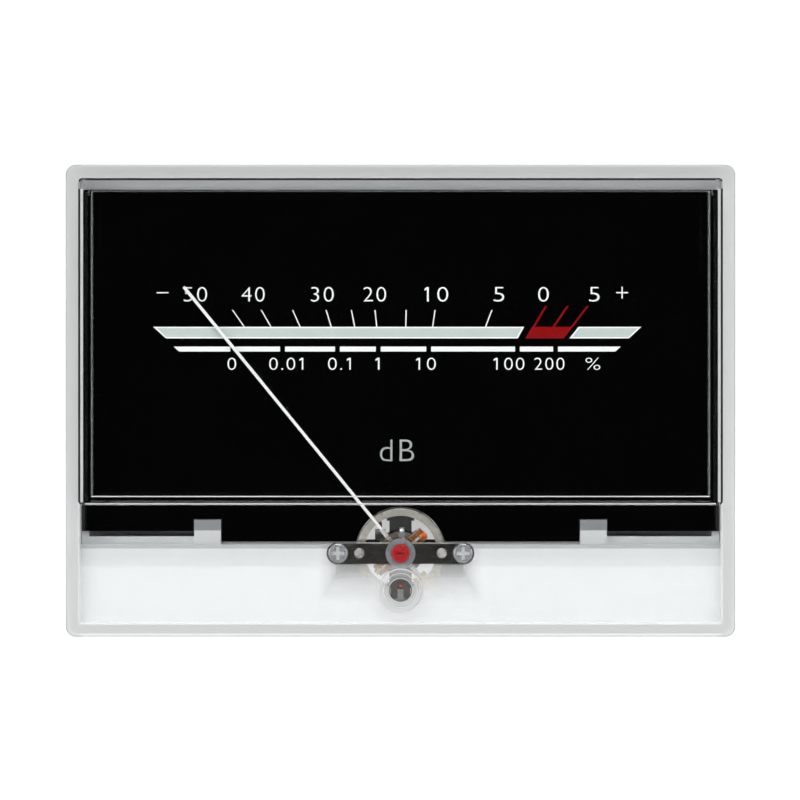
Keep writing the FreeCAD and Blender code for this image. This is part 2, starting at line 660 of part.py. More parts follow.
def zero_lever():
    """Lever on the jewel screw: hairspring tab above, fork for the crank pin below."""
    body = lug(LEVER_FRONT, LEVER_BACK, JEWEL_SCREW_RADIUS + RUNNING_CLEARANCE)
    finger = spring_finger(LEVER_BACK, FRONT_SPRING_Y + SPRING_HEIGHT / 2)
    half = FORK_WIDTH / 2
    neck = JEWEL_SCREW_HEAD * 0.7
    fork_top = ADJUSTER_Z + CRANK_THROW + CRANK_PIN + FORK_CLEARANCE * 7
    arm = outline_slab([(-neck, PIVOT_Z - LEVER_RING * 0.8), (neck, PIVOT_Z - LEVER_RING * 0.8),
                        (half, fork_top + FORK_SHOULDER), (half, ADJUSTER_Z - FORK_REACH),
                        (-half, ADJUSTER_Z - FORK_REACH), (-half, fork_top + FORK_SHOULDER)],
                       LEVER_FRONT, LEVER_BACK)
    slot_half = CRANK_PIN + FORK_CLEARANCE
    slot = block(-slot_half, slot_half, LEVER_FRONT, LEVER_BACK,
                 ADJUSTER_Z - FORK_REACH, fork_top - slot_half)
    slot_end = rod(slot_half, LEVER_FRONT, LEVER_BACK, z=fork_top - slot_half)
    return body.fuse([finger, arm]).cut([slot, slot_end]).removeSplitter()


def rear_spring_lug():
    """Fixed lug for the rear hairspring."""
    y_low = REAR_BRIDGE_BACK + WASHER_THICKNESS
    body = lug(y_low, y_low + TAG_THICKNESS, JEWEL_SCREW_RADIUS + FIT)
    finger = spring_finger(REAR_SPRING_Y - SPRING_HEIGHT / 2, y_low)
    return body.fuse(finger).removeSplitter()


def insulating_washer():
    """Washer between the rear strap and the rear lug."""
    return ring(WASHER_RADIUS, JEWEL_SCREW_RADIUS + FIT, REAR_BRIDGE_BACK,
                REAR_BRIDGE_BACK + WASHER_THICKNESS)


def rear_lock_nut():
    """Nut that locks the rear jewel screw."""
    y_low = REAR_BRIDGE_BACK + WASHER_THICKNESS + TAG_THICKNESS
    return nut(LOCK_NUT_ACROSS_FLATS, JEWEL_SCREW_RADIUS + FIT, y_low, y_low + LOCK_NUT_HEIGHT,
               0, PIVOT_Z)


def rear_jewel_screw():
    """Headless screw that holds the rear jewel, slotted at its outer end."""
    front = REAR_BRIDGE_FRONT - RUNNING_CLEARANCE
    back = REAR_BRIDGE_BACK + WASHER_THICKNESS + TAG_THICKNESS + LOCK_NUT_HEIGHT + SCREW_OVERRUN
    seat = rod(JEWEL_RADIUS + FIT, front, rear_jewel_front() + JEWEL_LENGTH)
    slot = block(-JEWEL_SCREW_RADIUS, JEWEL_SCREW_RADIUS, back - SCREW_OVERRUN, back,
                 PIVOT_Z - SLOT_HALF_WIDTH, PIVOT_Z + SLOT_HALF_WIDTH)
    return rod(JEWEL_SCREW_RADIUS, front, back).cut([seat, slot])


def hairspring(y_middle):
    """Flat spiral strip of half circles, its outer end straight up from the axis."""
    edges = []
    place = SPRING_INNER
    for step in range(SPRING_HALF_TURNS):
        radius = SPRING_INNER + step * SPRING_PITCH / 2
        up = 1 if step % 2 == 0 else -1
        middle = place - up * radius
        far = place - up * 2 * radius
        ends = [point(0, y_middle, PIVOT_Z + height) for height in (place, far)]
        edges.append(Part.Arc(ends[0], point(up * radius, y_middle, PIVOT_Z + middle),
                              ends[1]).toShape())
        place = far
    half = SPRING_STRIP / 2
    tall = SPRING_HEIGHT / 2
    corners = [(y_middle - tall, -half), (y_middle + tall, -half),
               (y_middle + tall, half), (y_middle - tall, half)]
    profile = [point(0, y, PIVOT_Z + SPRING_INNER + z) for y, z in corners]
    path = Part.Wire(edges)
    strip = path.makePipeShell([Part.makePolygon(profile + profile[:1])], True, False)
    return strip, path


def spring_gap(path):
    """The least distance between a spiral's neighbouring turns, less the strip."""
    per_half = 24
    places = []
    for edge in path.Edges:
        span = edge.LastParameter - edge.FirstParameter
        places += [edge.valueAt(edge.FirstParameter + span * step / per_half)
                   for step in range(per_half)]
    least = min((a - b).Length for index, a in enumerate(places)
                for b in places[index + per_half:])
    return least - SPRING_STRIP


def coil_former():
    """Thin aluminium frame that the coil is wound on."""
    half = COIL_WIDTH / 2 + WIDE_FIT
    outer = block(-half, half, FORMER_FRONT, FORMER_BACK, PIVOT_Z - FORMER_HALF,
                  PIVOT_Z + FORMER_HALF)
    clear = FORMER_HALF - FORMER_THICKNESS
    inner = block(-half, half, FORMER_FRONT + FORMER_THICKNESS, FORMER_BACK - FORMER_THICKNESS,
                  PIVOT_Z - clear, PIVOT_Z + clear)
    return turned(outer.cut(inner), COIL_ANGLE)


def coil_winding():
    """The wound copper, as one band round the former."""
    half = COIL_WIDTH / 2
    outer = block(-half, half, COIL_FRONT, COIL_BACK, PIVOT_Z - COIL_HALF, PIVOT_Z + COIL_HALF)
    corners = [edge for edge in outer.Edges if edge.BoundBox.XLength > COIL_WIDTH / 2]
    outer = outer.makeFillet(WINDING_THICKNESS * 0.6, corners)
    inner = block(-half, half, FORMER_FRONT, FORMER_BACK, PIVOT_Z - FORMER_HALF,
                  PIVOT_Z + FORMER_HALF)
    return turned(outer.cut(inner), COIL_ANGLE)


def cross_front():
    """The front face of the balance cross."""
    return NEEDLE_Y - CROSS_THICKNESS / 2


def front_pivot_base():
    """Brass seat on the coil: a disc, a neck for the cross and a collet for the hairspring."""
    disc_back = COIL_FRONT
    disc = rod(BASE_RADIUS, NEEDLE_Y + CROSS_THICKNESS / 2, disc_back)
    neck = rod(COLLET_RADIUS, FRONT_BRIDGE_BACK + WIDE_FIT, disc_back)
    return disc.fuse(neck).cut(rod(PIVOT_RADIUS + FIT / 2, FRONT_BRIDGE_BACK, disc_back))


def rear_pivot_base():
    """Brass seat on the back of the coil."""
    disc = rod(BASE_RADIUS, COIL_BACK, COIL_BACK + BASE_THICKNESS)
    neck = rod(COLLET_RADIUS, COIL_BACK, REAR_BRIDGE_FRONT - 2 * WIDE_FIT)
    return disc.fuse(neck).cut(rod(PIVOT_RADIUS + FIT / 2, COIL_BACK, REAR_BRIDGE_FRONT))


def front_pivot():
    """Hardened steel pivot with a conical tip."""
    tip = jewel_back() - JEWEL_CUP + PIVOT_END_PLAY
    shoulder = tip + PIVOT_RADIUS * 1.5
    point_cone = cone(PIVOT_TIP, PIVOT_RADIUS, tip, shoulder)
    return point_cone.fuse(rod(PIVOT_RADIUS, shoulder, COIL_FRONT)).removeSplitter()


def rear_pivot():
    """Hardened steel pivot at the back."""
    tip = rear_jewel_front() + JEWEL_CUP - PIVOT_END_PLAY
    shoulder = tip - PIVOT_RADIUS * 1.5
    point_cone = cone(PIVOT_RADIUS, PIVOT_TIP, shoulder, tip)
    return point_cone.fuse(rod(PIVOT_RADIUS, COIL_BACK, shoulder)).removeSplitter()


def upright_rod(radius, low, high):
    """A round bar that points straight up from the pivot axis, before it is turned."""
    return Part.makeCylinder(radius, high - low, point(0, NEEDLE_Y, PIVOT_Z + low))


def balance_cross():
    """Aluminium cross on the coil: needle arm, tail arm and two side arms."""
    y_low = cross_front()
    y_high = y_low + CROSS_THICKNESS
    half = CROSS_ARM_WIDTH / 2
    needle_arm = block(-half, half, y_low, y_high, PIVOT_Z, PIVOT_Z + SPIGOT_START)
    spigot = upright_rod(NEEDLE_RADIUS - NEEDLE_WALL - FIT, SPIGOT_START - 1,
                         SPIGOT_START + SPIGOT_LENGTH)
    tail_arm = block(-half, half, y_low, y_high, PIVOT_Z - TAIL_ARM_LENGTH, PIVOT_Z)
    side_arms = block(-SIDE_ARM_LENGTH, SIDE_ARM_LENGTH, y_low, y_high,
                      PIVOT_Z - half / 2, PIVOT_Z + half / 2)
    cross = rod(CROSS_HUB, y_low, y_high).fuse([needle_arm, spigot, tail_arm, side_arms])
    cross = cross.removeSplitter().cut(rod(COLLET_RADIUS + FIT, y_low, y_high))
    return turned(cross, NEEDLE_ANGLE)


def needle():
    """White aluminium tube, pushed over the cross's spigot."""
    outer = upright_rod(NEEDLE_RADIUS, SPIGOT_START + FIT, NEEDLE_LENGTH)
    bore = upright_rod(NEEDLE_RADIUS - NEEDLE_WALL, SPIGOT_START + FIT,
                       NEEDLE_LENGTH - NEEDLE_RADIUS)
    return turned(outer.cut(bore), NEEDLE_ANGLE)


def side_weights():
    """Two small brass sleeves on the side arms."""
    sleeves = []
    half = CROSS_ARM_WIDTH / 4 + FIT
    for side in (-1, 1):
        start = point(side * (SIDE_ARM_LENGTH - SIDE_WEIGHT_LENGTH), NEEDLE_Y, PIVOT_Z)
        sleeve = Part.makeCylinder(SIDE_WEIGHT_RADIUS, SIDE_WEIGHT_LENGTH, start,
                                   point(side, 0, 0))
        hole = block(-SIDE_ARM_LENGTH, SIDE_ARM_LENGTH, cross_front() - FIT,
                     cross_front() + CROSS_THICKNESS + FIT, PIVOT_Z - half, PIVOT_Z + half)
        sleeves.append(turned(sleeve.cut(hole), NEEDLE_ANGLE))
    return sleeves


def moment_along_needle(shape, density):
    """Mass times its distance along the needle, in gram millimetres."""
    upright = turned(shape, -NEEDLE_ANGLE)
    return density * upright.Volume * (upright.CenterOfGravity.z - PIVOT_Z)


def tail_weight():
    """Brass slug on the tail arm, just long enough to balance the needle."""
    moment = moment_along_needle(needle(), ALUMINIUM_DENSITY)
    moment += moment_along_needle(balance_cross(), ALUMINIUM_DENSITY)
    slot_width = CROSS_ARM_WIDTH + 2 * FIT
    slot_height = CROSS_THICKNESS + 2 * FIT
    section = TAIL_WEIGHT_WIDTH * TAIL_WEIGHT_THICKNESS - slot_width * slot_height
    line_mass = BRASS_DENSITY * section
    end = math.sqrt(TAIL_WEIGHT_START ** 2 + 2 * moment / line_mass)
    y_low = NEEDLE_Y - TAIL_WEIGHT_THICKNESS / 2 - CASE_CLEARANCE
    slug = block(-TAIL_WEIGHT_WIDTH / 2, TAIL_WEIGHT_WIDTH / 2, y_low,
                 y_low + TAIL_WEIGHT_THICKNESS, PIVOT_Z - end, PIVOT_Z - TAIL_WEIGHT_START)
    slot = block(-slot_width / 2, slot_width / 2, cross_front() - FIT,
                 cross_front() - FIT + slot_height, PIVOT_Z - end, PIVOT_Z - TAIL_WEIGHT_START)
    print(f"tail weight runs from {TAIL_WEIGHT_START} to {end:.3f} mm from the axis")
    return turned(slug.cut(slot), NEEDLE_ANGLE)


def lamp_pin_places(side):
    """X of the two pins of one lamp."""
    return [side * (LAMP_X + end * LAMP_PITCH / 2) for end in (-1, 1)]


def lamp_board(side):
    """Small circuit board on the partition, drilled for its two leads."""
    x = side * LAMP_X
    board = block(x - BOARD_LENGTH / 2, x + BOARD_LENGTH / 2, LAMP_LEAD_Y - BOARD_DEPTH / 2,
                  LAMP_LEAD_Y + BOARD_DEPTH / 2, PARTITION_TOP, PARTITION_TOP + BOARD_THICKNESS)
    holes = [Part.makeCylinder(LAMP_LEAD_RADIUS + FIT, BOARD_THICKNESS,
                               point(place, LAMP_LEAD_Y, PARTITION_TOP))
             for place in lamp_pin_places(side)]
    return board.cut(holes)


def lamp_led(side):
    """Square lamp on the board, its top edges sloped."""
    x = side * LAMP_X
    z_low = PARTITION_TOP + BOARD_THICKNESS
    half = LED_SIZE / 2
    led = block(x - half, x + half, LAMP_LEAD_Y - half, LAMP_LEAD_Y + half,
                z_low, z_low + LED_HEIGHT)
    top = [edge for edge in led.Edges if edge.BoundBox.ZMin > z_low + LED_HEIGHT / 2]
    return led.makeChamfer(LED_HEIGHT / 4, top)


def lamp_leads():
    """Bare wires from the boards down through the partition and back to the pins."""
    wires = []
    top = PARTITION_TOP + BOARD_THICKNESS + LAMP_LEAD_RADIUS
    end = CASE_BACK_WALL - LAMP_PIN_COLLAR * 2
    bend = LAMP_LEAD_BEND
    inward = bend * (1 - math.sqrt(0.5))
    for side in (-1, 1):
        for x in lamp_pin_places(side):
            leave = point(x, LAMP_LEAD_Y, LAMP_PIN_Z + bend)
            middle = point(x, LAMP_LEAD_Y + inward, LAMP_PIN_Z + inward)
            join = point(x, LAMP_LEAD_Y + bend, LAMP_PIN_Z)
            path = Part.Wire([Part.LineSegment(point(x, LAMP_LEAD_Y, top), leave).toShape(),
                              Part.Arc(leave, middle, join).toShape(),
                              Part.LineSegment(join, point(x, end, LAMP_PIN_Z)).toShape()])
            wires.append(wire_along(path, LAMP_LEAD_RADIUS))
    return wires


def lamp_pins():
    """Collared pins through the rear wall, for the lamp supply."""
    pins = []
    front = CASE_BACK_WALL - LAMP_PIN_COLLAR * 2
    for side in (-1, 1):
        for x in lamp_pin_places(side):
            pin = rod(LAMP_PIN_RADIUS, front, CASE_REAR + LAMP_PIN_REACH, x, LAMP_PIN_Z)
            collar = rod(LAMP_PIN_COLLAR, CASE_BACK_WALL - LAMP_PIN_RADIUS, CASE_BACK_WALL,
                         x, LAMP_PIN_Z)
            pins.append(pin.fuse(collar).removeSplitter())
    return pins


def terminal_stud(side):
    """Stud with a hexagonal head inside the case and a groove that ends its nut thread."""
    x = side * STUD_X
    head_front = STUD_TAG_FRONT - STUD_HEAD_HEIGHT
    head = hexagon(NUT_ACROSS_FLATS, head_front, STUD_TAG_FRONT, x, STUD_Z)
    shank = rod(STUD_RADIUS, head_front, STUD_END, x, STUD_Z)
    shank = shank.makeChamfer(EDGE_SOFTENING, front_edges(shank, STUD_END))
    groove = ring(STUD_RADIUS + FIT, STUD_RADIUS - STUD_GROOVE_DEPTH, SECOND_NUT_BACK,
                  SECOND_NUT_BACK + STUD_GROOVE_WIDTH, x, STUD_Z)
    return head.fuse(shank).removeSplitter().cut(groove)


def solder_tag(side, y_low, direction):
    """A ring on the stud with a drilled tail, up (1) or down (-1)."""
    x = side * STUD_X
    tail = sorted((STUD_Z, STUD_Z + direction * TAG_LENGTH))
    body = rod(TAG_RADIUS, y_low, y_low + TAG_THICKNESS, x, STUD_Z)
    strip = block(x - TAG_WIDTH / 2, x + TAG_WIDTH / 2, y_low, y_low + TAG_THICKNESS, *tail)
    eye = rod(TAG_WIDTH / 4, y_low, y_low + TAG_THICKNESS, x,
              STUD_Z + direction * (TAG_LENGTH - TAG_WIDTH / 2))
    bore = rod(STUD_RADIUS + FIT, y_low, y_low + TAG_THICKNESS, x, STUD_Z)
    return body.fuse(strip).removeSplitter().cut([bore, eye])


def terminal_nuts():
    """Two nuts on each stud, one either side of the outer tag."""
    nuts = []
    for side in (-1, 1):
        for y_low in (FIRST_NUT_BACK - NUT_HEIGHT, SECOND_NUT_FRONT):
            nuts.append(nut(NUT_ACROSS_FLATS, STUD_RADIUS + FIT, y_low, y_low + NUT_HEIGHT,
                            side * STUD_X, STUD_Z))
    return nuts


def terminal_washer(side):
    """Plain washer between the case and the first nut."""
    return ring(STUD_WASHER, STUD_RADIUS + FIT, CASE_REAR, CASE_REAR + STUD_WASHER_THICKNESS,
                side * STUD_X, STUD_Z)


def movement_leads():
    """Two leads from the inner tags to the rear strap and the rear hairspring lug."""
    slot_y = (REAR_BRIDGE_BACK + CASE_BACK_WALL) / 2
    tag_y = STUD_TAG_FRONT - LEAD_RADIUS - FIT
    tag_z = STUD_Z - TAG_LENGTH + TAG_WIDTH / 2
    arch_top = PIVOT_Z + ARCH_BORE + ARCH_WALL / 2
    strap_x = -RIVET_X / 2
    lug_y = REAR_BRIDGE_BACK + WASHER_THICKNESS + TAG_THICKNESS + LEAD_RADIUS + FIT
    to_strap = [point(-STUD_X, tag_y, tag_z), point(-STUD_X + 4, tag_y - 0.3, tag_z - 0.6),
                point(-STUD_X + 8.2, slot_y, arch_top - 1.4), point(strap_x, slot_y, arch_top - 4),
                point(strap_x, REAR_BRIDGE_BACK + LEAD_RADIUS + FIT, PIVOT_Z + 3.2)]
    to_lug = [point(STUD_X, tag_y, tag_z), point(STUD_X - 4, tag_y - 0.3, tag_z - 0.6),
              point(STUD_X - 8.4, slot_y, arch_top - 1.2), point(3.4, slot_y, PIVOT_Z + 7.2),
              point(TAB_STRIP_X, lug_y, PIVOT_Z + TAB_STRIP_HEIGHT - 0.4)]
    wires = []
    for points in (to_strap, to_lug):
        path, radii = rounded_path(points)
        wires.append(wire_along(path, LEAD_RADIUS))
        section = math.pi * LEAD_RADIUS ** 2
        listed = ", ".join(f"{radius:.2f}" for radius in radii)
        print(f"lead: arc radii {listed} mm, volume over section times length "
              f"{wires[-1].Volume / section / path.Length:.4f}")
    return wires


os.makedirs("parts", exist_ok=True)

save("front_cover", front_cover())
save("zero_adjuster", zero_adjuster())
save("rear_case", rear_case())
save("dial_plate", dial_plate())
save("yoke_ring", yoke_ring())
save("stop_pins", *stop_pins())
save("core_magnet", core_magnet())
save("magnet_blocks", *magnet_blocks())
save("front_bridge", front_bridge())
save("rear_bridge", rear_bridge())
save("bridge_screws", *bridge_screws())
save("front_bridge_rivets", *shouldered_rivets(BRIDGE_FRONT, FRONT_BRIDGE_BACK, RING_FRONT))
save("rear_bridge_rivets", *shouldered_rivets(REAR_BRIDGE_BACK, REAR_BRIDGE_FRONT, RING_BACK))
save("front_jewel_screw", front_jewel_screw())
save("front_jewel", front_jewel())
save("friction_washer", friction_washer())
save("zero_lever", zero_lever())
save("rear_jewel_screw", rear_jewel_screw())
save("rear_jewel", rear_jewel())
save("insulating_washer", insulating_washer())
save("rear_spring_lug", rear_spring_lug())
save("rear_lock_nut", rear_lock_nut())
save("coil_former", coil_former())
save("coil_winding", coil_winding())
save("front_pivot_base", front_pivot_base())
save("rear_pivot_base", rear_pivot_base())
save("front_pivot", front_pivot())
save("rear_pivot", rear_pivot())
save("balance_cross", balance_cross())
save("needle", needle())
save("side_weights", *side_weights())
save("tail_weight", tail_weight())
for name, spring_y in (("front_hairspring", FRONT_SPRING_Y), ("rear_hairspring", REAR_SPRING_Y)):
    strip, path = hairspring(spring_y)
    save(name, strip)
    print(f"{name}: least gap between turns {spring_gap(path):.3f} mm")
save("lamp_boards", *both_sides(lamp_board))
save("lamp_leds", *both_sides(lamp_led))
save("lamp_leads", *lamp_leads())
save("lamp_pins", *lamp_pins())
save("terminal_studs", *both_sides(terminal_stud))
save("inner_solder_tags", *both_sides(lambda side: solder_tag(side, STUD_TAG_FRONT, -1)))
save("terminal_washers", *both_sides(terminal_washer))
save("terminal_nuts", *terminal_nuts())
save("outer_solder_tags", *both_sides(lambda side: solder_tag(side, FIRST_NUT_BACK, 1)))
save("movement_leads", *movement_leads())
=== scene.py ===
import math

import bpy
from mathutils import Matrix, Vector


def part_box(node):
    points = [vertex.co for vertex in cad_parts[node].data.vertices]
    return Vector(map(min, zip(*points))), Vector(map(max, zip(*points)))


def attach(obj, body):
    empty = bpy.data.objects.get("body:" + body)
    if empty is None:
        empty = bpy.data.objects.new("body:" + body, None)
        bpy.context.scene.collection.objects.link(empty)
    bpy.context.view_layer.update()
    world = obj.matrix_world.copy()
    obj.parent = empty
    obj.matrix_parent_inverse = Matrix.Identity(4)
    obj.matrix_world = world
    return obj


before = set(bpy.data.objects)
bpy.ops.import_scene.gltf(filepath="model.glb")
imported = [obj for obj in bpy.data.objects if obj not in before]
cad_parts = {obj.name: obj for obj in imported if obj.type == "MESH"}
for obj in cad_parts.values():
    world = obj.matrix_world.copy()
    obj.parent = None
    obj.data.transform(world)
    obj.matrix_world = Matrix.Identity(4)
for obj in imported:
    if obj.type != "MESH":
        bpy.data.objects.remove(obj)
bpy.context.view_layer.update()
bpy.ops.object.select_all(action="DESELECT")

# Studio: the camera square to the dial, a paper sweep that is floor and backdrop in one, and soft
# lamps well off the line of sight, so that the window and the dial mirror only the dark room behind
# the camera. None of it is part of the meter.
MM = 0.001
FLANGE_DEPTH = 5.0
FLANGE_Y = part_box("front_cover")[0][1] + FLANGE_DEPTH * MM
CAMERA_DISTANCE = 0.625
VIEW_WIDTH = 0.160
VIEW_CENTRE = (-0.0001, 0.0474)
SENSOR_WIDTH = 36.0
METER_MIDDLE = (0, 0, 0.047)
METER_FOOT = (0, 0, 0.01)
SWEEP = ((-0.28, 0), (1.1, 0), (1.35, 0.08), (1.45, 0.35), (1.45, 2.0))
SWEEP_HALF = 2.0
PAPER_COLOUR = (0.1, 0.1, 0.1, 1)
PAPER_SEEN = 1.0
PAPER_CAST = 0.75
ROOM_SEEN = 1.0
ROOM_CAST = 0.004
WHITE_LIGHT = (1, 1, 1, 1)

camera_data = bpy.data.cameras.new("studio_camera")
camera_data.sensor_width = SENSOR_WIDTH
camera_data.lens = SENSOR_WIDTH * CAMERA_DISTANCE / VIEW_WIDTH
camera = bpy.data.objects.new("studio_camera", camera_data)
camera.location = (VIEW_CENTRE[0], FLANGE_Y - CAMERA_DISTANCE, VIEW_CENTRE[1])
camera.rotation_euler = (math.radians(90), 0, 0)
bpy.context.collection.objects.link(camera)
bpy.context.scene.camera = camera
bpy.context.scene.view_settings.view_transform = "Standard"


def soft_lamp(name, place, target, size, power):
    """A square soft box at a place, facing a target."""
    data = bpy.data.lights.new(name, "AREA")
    data.size = size
    data.energy = power
    lamp = bpy.data.objects.new(name, data)
    lamp.location = place
    lamp.rotation_euler = (Vector(target) - Vector(place)).to_track_quat("-Z", "Y").to_euler()
    bpy.context.collection.objects.link(lamp)


for side, name in ((-1, "left"), (1, "right")):
    soft_lamp(f"lamp_high_{name}", place=(side * 0.80, -0.60, 0.35), target=METER_MIDDLE, size=0.5,
              power=1.0)
    soft_lamp(f"lamp_low_{name}", place=(side * 0.44, -0.60, 0.10), target=METER_FOOT, size=0.25,
              power=0.75)
soft_lamp("lamp_front", place=(0, -0.80, 0.60), target=METER_MIDDLE, size=0.5, power=3.5)
soft_lamp("lamp_top", place=(0, -0.10, 0.95), target=METER_MIDDLE, size=0.5, power=1.8)
soft_lamp("lamp_behind", place=(0, 0.9, 0.7), target=METER_MIDDLE, size=0.8, power=4.0)


def seen_or_cast(tree, seen, cast):
    """A glow's strength: one value as the camera sees it, another for the light that it casts."""
    paths = tree.nodes.new("ShaderNodeLightPath")
    level = tree.nodes.new("ShaderNodeMapRange")
    level.inputs["To Min"].default_value = cast
    level.inputs["To Max"].default_value = seen
    tree.links.new(paths.outputs["Is Camera Ray"], level.inputs["Value"])
    return level.outputs["Result"]


sweep_mesh = bpy.data.meshes.new("studio_sweep")
sweep_points = [(side * SWEEP_HALF, y, z) for y, z in SWEEP for side in (-1, 1)]
sweep_faces = [(2 * i, 2 * i + 1, 2 * i + 3, 2 * i + 2) for i in range(len(SWEEP) - 1)]
sweep_mesh.from_pydata(sweep_points, [], sweep_faces)
sweep = bpy.data.objects.new("studio_sweep", sweep_mesh)
bpy.context.collection.objects.link(sweep)
paper = bpy.data.materials.new("white_paper")
paper.use_nodes = True
paper_tree = paper.node_tree
paper_shader = paper_tree.nodes["Principled BSDF"]
paper_shader.inputs["Base Color"].default_value = PAPER_COLOUR
paper_shader.inputs["Roughness"].default_value = 1.0
paper_shader.inputs["Emission Color"].default_value = WHITE_LIGHT
paper_tree.links.new(seen_or_cast(paper_tree, PAPER_SEEN, PAPER_CAST),
                     paper_shader.inputs["Emission Strength"])
sweep_mesh.materials.append(paper)

world = bpy.data.worlds.new("studio_world")
world.use_nodes = True
bpy.context.scene.world = world
sky = world.node_tree
sky.links.new(seen_or_cast(sky, ROOM_SEEN, ROOM_CAST), sky.nodes["Background"].inputs["Strength"])
sky.nodes["Background"].inputs["Color"].default_value = WHITE_LIGHT

# Rear case: an open box of white moulded plastic with a fine matt texture. The dial, the movement
# and the lamps are fixed in it, and its catches hold the front cover. Its colour carries painted
# light and shade: behind the front rim the plastic is painted lighter than the rim, a painted glow
# (an emission, though the wall is no lamp) stands in for lamp light on the inner rear wall near
# the pivot, and the heads of its two tabs are painted dark as the shade of the window's foot.
CASE_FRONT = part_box("rear_case")[0][1] / MM
CASE_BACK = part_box("rear_case")[1][1] / MM
DIAL_FRONT_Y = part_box("dial_plate")[0][1]
PIVOT_Z = (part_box("yoke_ring")[0][2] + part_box("yoke_ring")[1][2]) / 2
# Painted light: behind these places along Y the case is painted lighter than its front rim.
PAINTED_LIGHT_START = -4.0
PAINTED_LIGHT_END = -1.5
INNER_WALL_DEPTH = 4.5
OUTER_SKIN = 0.9
# Painted glow: an emission on the inner rear wall near the pivot that stands in for lamp light.
GLOW_REACH = 8.9
GLOW = 0.55
GLOW_COLOUR = (0.9, 0.92, 0.93, 1)
# Painted shade on the heads of the two tabs, under the window's foot.
TAB_SHADE_FOOT = 20.9
TAB_SHADE_TOP = 25.0
TAB_REACH = 46.0
TAB_MARGIN = 1.0
TAB_SHADE = (0.25, 0.26, 0.27)
COAT_ROUGHNESS = 0.05
MASK_FADE = 0.3
ALONG_X = (1, 0, 0)
ALONG_Y = (0, 1, 0)
ALONG_Z = (0, 0, 1)

# The places of the factor, the two colours and the result in a Mix node.
MIX_FACTOR = 0
MIX_FIRST = 6
MIX_SECOND = 7
MIX_RESULT = 2


def grain_group():
    """Node group: a fine grain that varies a shine and gives a height and a mask."""
    group = bpy.data.node_groups.new("fine_grain", "ShaderNodeTree")
    sockets = group.interface
    sockets.new_socket("Vector", in_out="INPUT", socket_type="NodeSocketVector")
    for name, value in (("Scale", 1000.0), ("Low", 0.3), ("High", 0.5)):
        made = sockets.new_socket(name, in_out="INPUT", socket_type="NodeSocketFloat")
        made.default_value = value
    for name in ("Roughness", "Height", "Mask"):
        sockets.new_socket(name, in_out="OUTPUT", socket_type="NodeSocketFloat")
    entry = group.nodes.new("NodeGroupInput")
    exit_node = group.nodes.new("NodeGroupOutput")
    fine = group.nodes.new("ShaderNodeTexNoise")
    fine.inputs["Detail"].default_value = 4.0
    broad = group.nodes.new("ShaderNodeTexNoise")
    broad.inputs["Detail"].default_value = 2.0
    eighth = group.nodes.new("ShaderNodeMath")
    eighth.operation = "MULTIPLY"
    eighth.inputs[1].default_value = 0.125
    spread = group.nodes.new("ShaderNodeMapRange")
    spread.inputs["From Min"].default_value = 0.3
    spread.inputs["From Max"].default_value = 0.7
    link = group.links.new
    link(entry.outputs["Vector"], fine.inputs["Vector"])
    link(entry.outputs["Vector"], broad.inputs["Vector"])
    link(entry.outputs["Scale"], fine.inputs["Scale"])
    link(entry.outputs["Scale"], eighth.inputs[0])
    link(eighth.outputs[0], broad.inputs["Scale"])
    link(fine.outputs["Fac"], spread.inputs["Value"])
    link(entry.outputs["Low"], spread.inputs["To Min"])
    link(entry.outputs["High"], spread.inputs["To Max"])
    link(spread.outputs["Result"], exit_node.inputs["Roughness"])
    link(fine.outputs["Fac"], exit_node.inputs["Height"])
    link(broad.outputs["Fac"], exit_node.inputs["Mask"])
    return group


fine_grain = grain_group()


def finish(name, colour, second, shine, metallic=0.0, scale=900.0, stretch=(1, 1, 1), bump=0.0,
           coat=0.0):
    """A surface whose colour wanders between two tones and whose shine and height have a grain."""
    material = bpy.data.materials.new(name)
    material.use_nodes = True
    tree = material.node_tree
    link = tree.links.new
    shader = tree.nodes["Principled BSDF"]
    shader.inputs["Metallic"].default_value = metallic
    shader.inputs["Coat Weight"].default_value = coat
    shader.inputs["Coat Roughness"].default_value = COAT_ROUGHNESS
    places = tree.nodes.new("ShaderNodeTexCoord")
    mapping = tree.nodes.new("ShaderNodeMapping")
    mapping.inputs["Scale"].default_value = stretch
    grain = tree.nodes.new("ShaderNodeGroup")
    grain.node_tree = fine_grain
    grain.inputs["Scale"].default_value = scale
    grain.inputs["Low"].default_value = shine[0]
    grain.inputs["High"].default_value = shine[1]
    tones = tree.nodes.new("ShaderNodeMix")
    tones.data_type = "RGBA"
    tones.inputs[MIX_FIRST].default_value = (*colour, 1)
    tones.inputs[MIX_SECOND].default_value = (*second, 1)
    link(places.outputs["Object"], mapping.inputs["Vector"])
    link(mapping.outputs["Vector"], grain.inputs["Vector"])
    link(grain.outputs["Mask"], tones.inputs[MIX_FACTOR])
    link(tones.outputs[MIX_RESULT], shader.inputs["Base Color"])
    link(grain.outputs["Roughness"], shader.inputs["Roughness"])
    if bump:
        relief = tree.nodes.new("ShaderNodeBump")
        relief.inputs["Strength"].default_value = 1.0
        relief.inputs["Distance"].default_value = bump
        link(grain.outputs["Height"], relief.inputs["Height"])
        link(relief.outputs["Normal"], shader.inputs["Normal"])
    return material


def dress(material, *names):
    """Give CAD nodes a finish in every slot."""
    for name in names:
        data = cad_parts[name].data
        if not data.materials:
            data.materials.append(material)
        for place in range(len(data.materials)):
            data.materials[place] = material


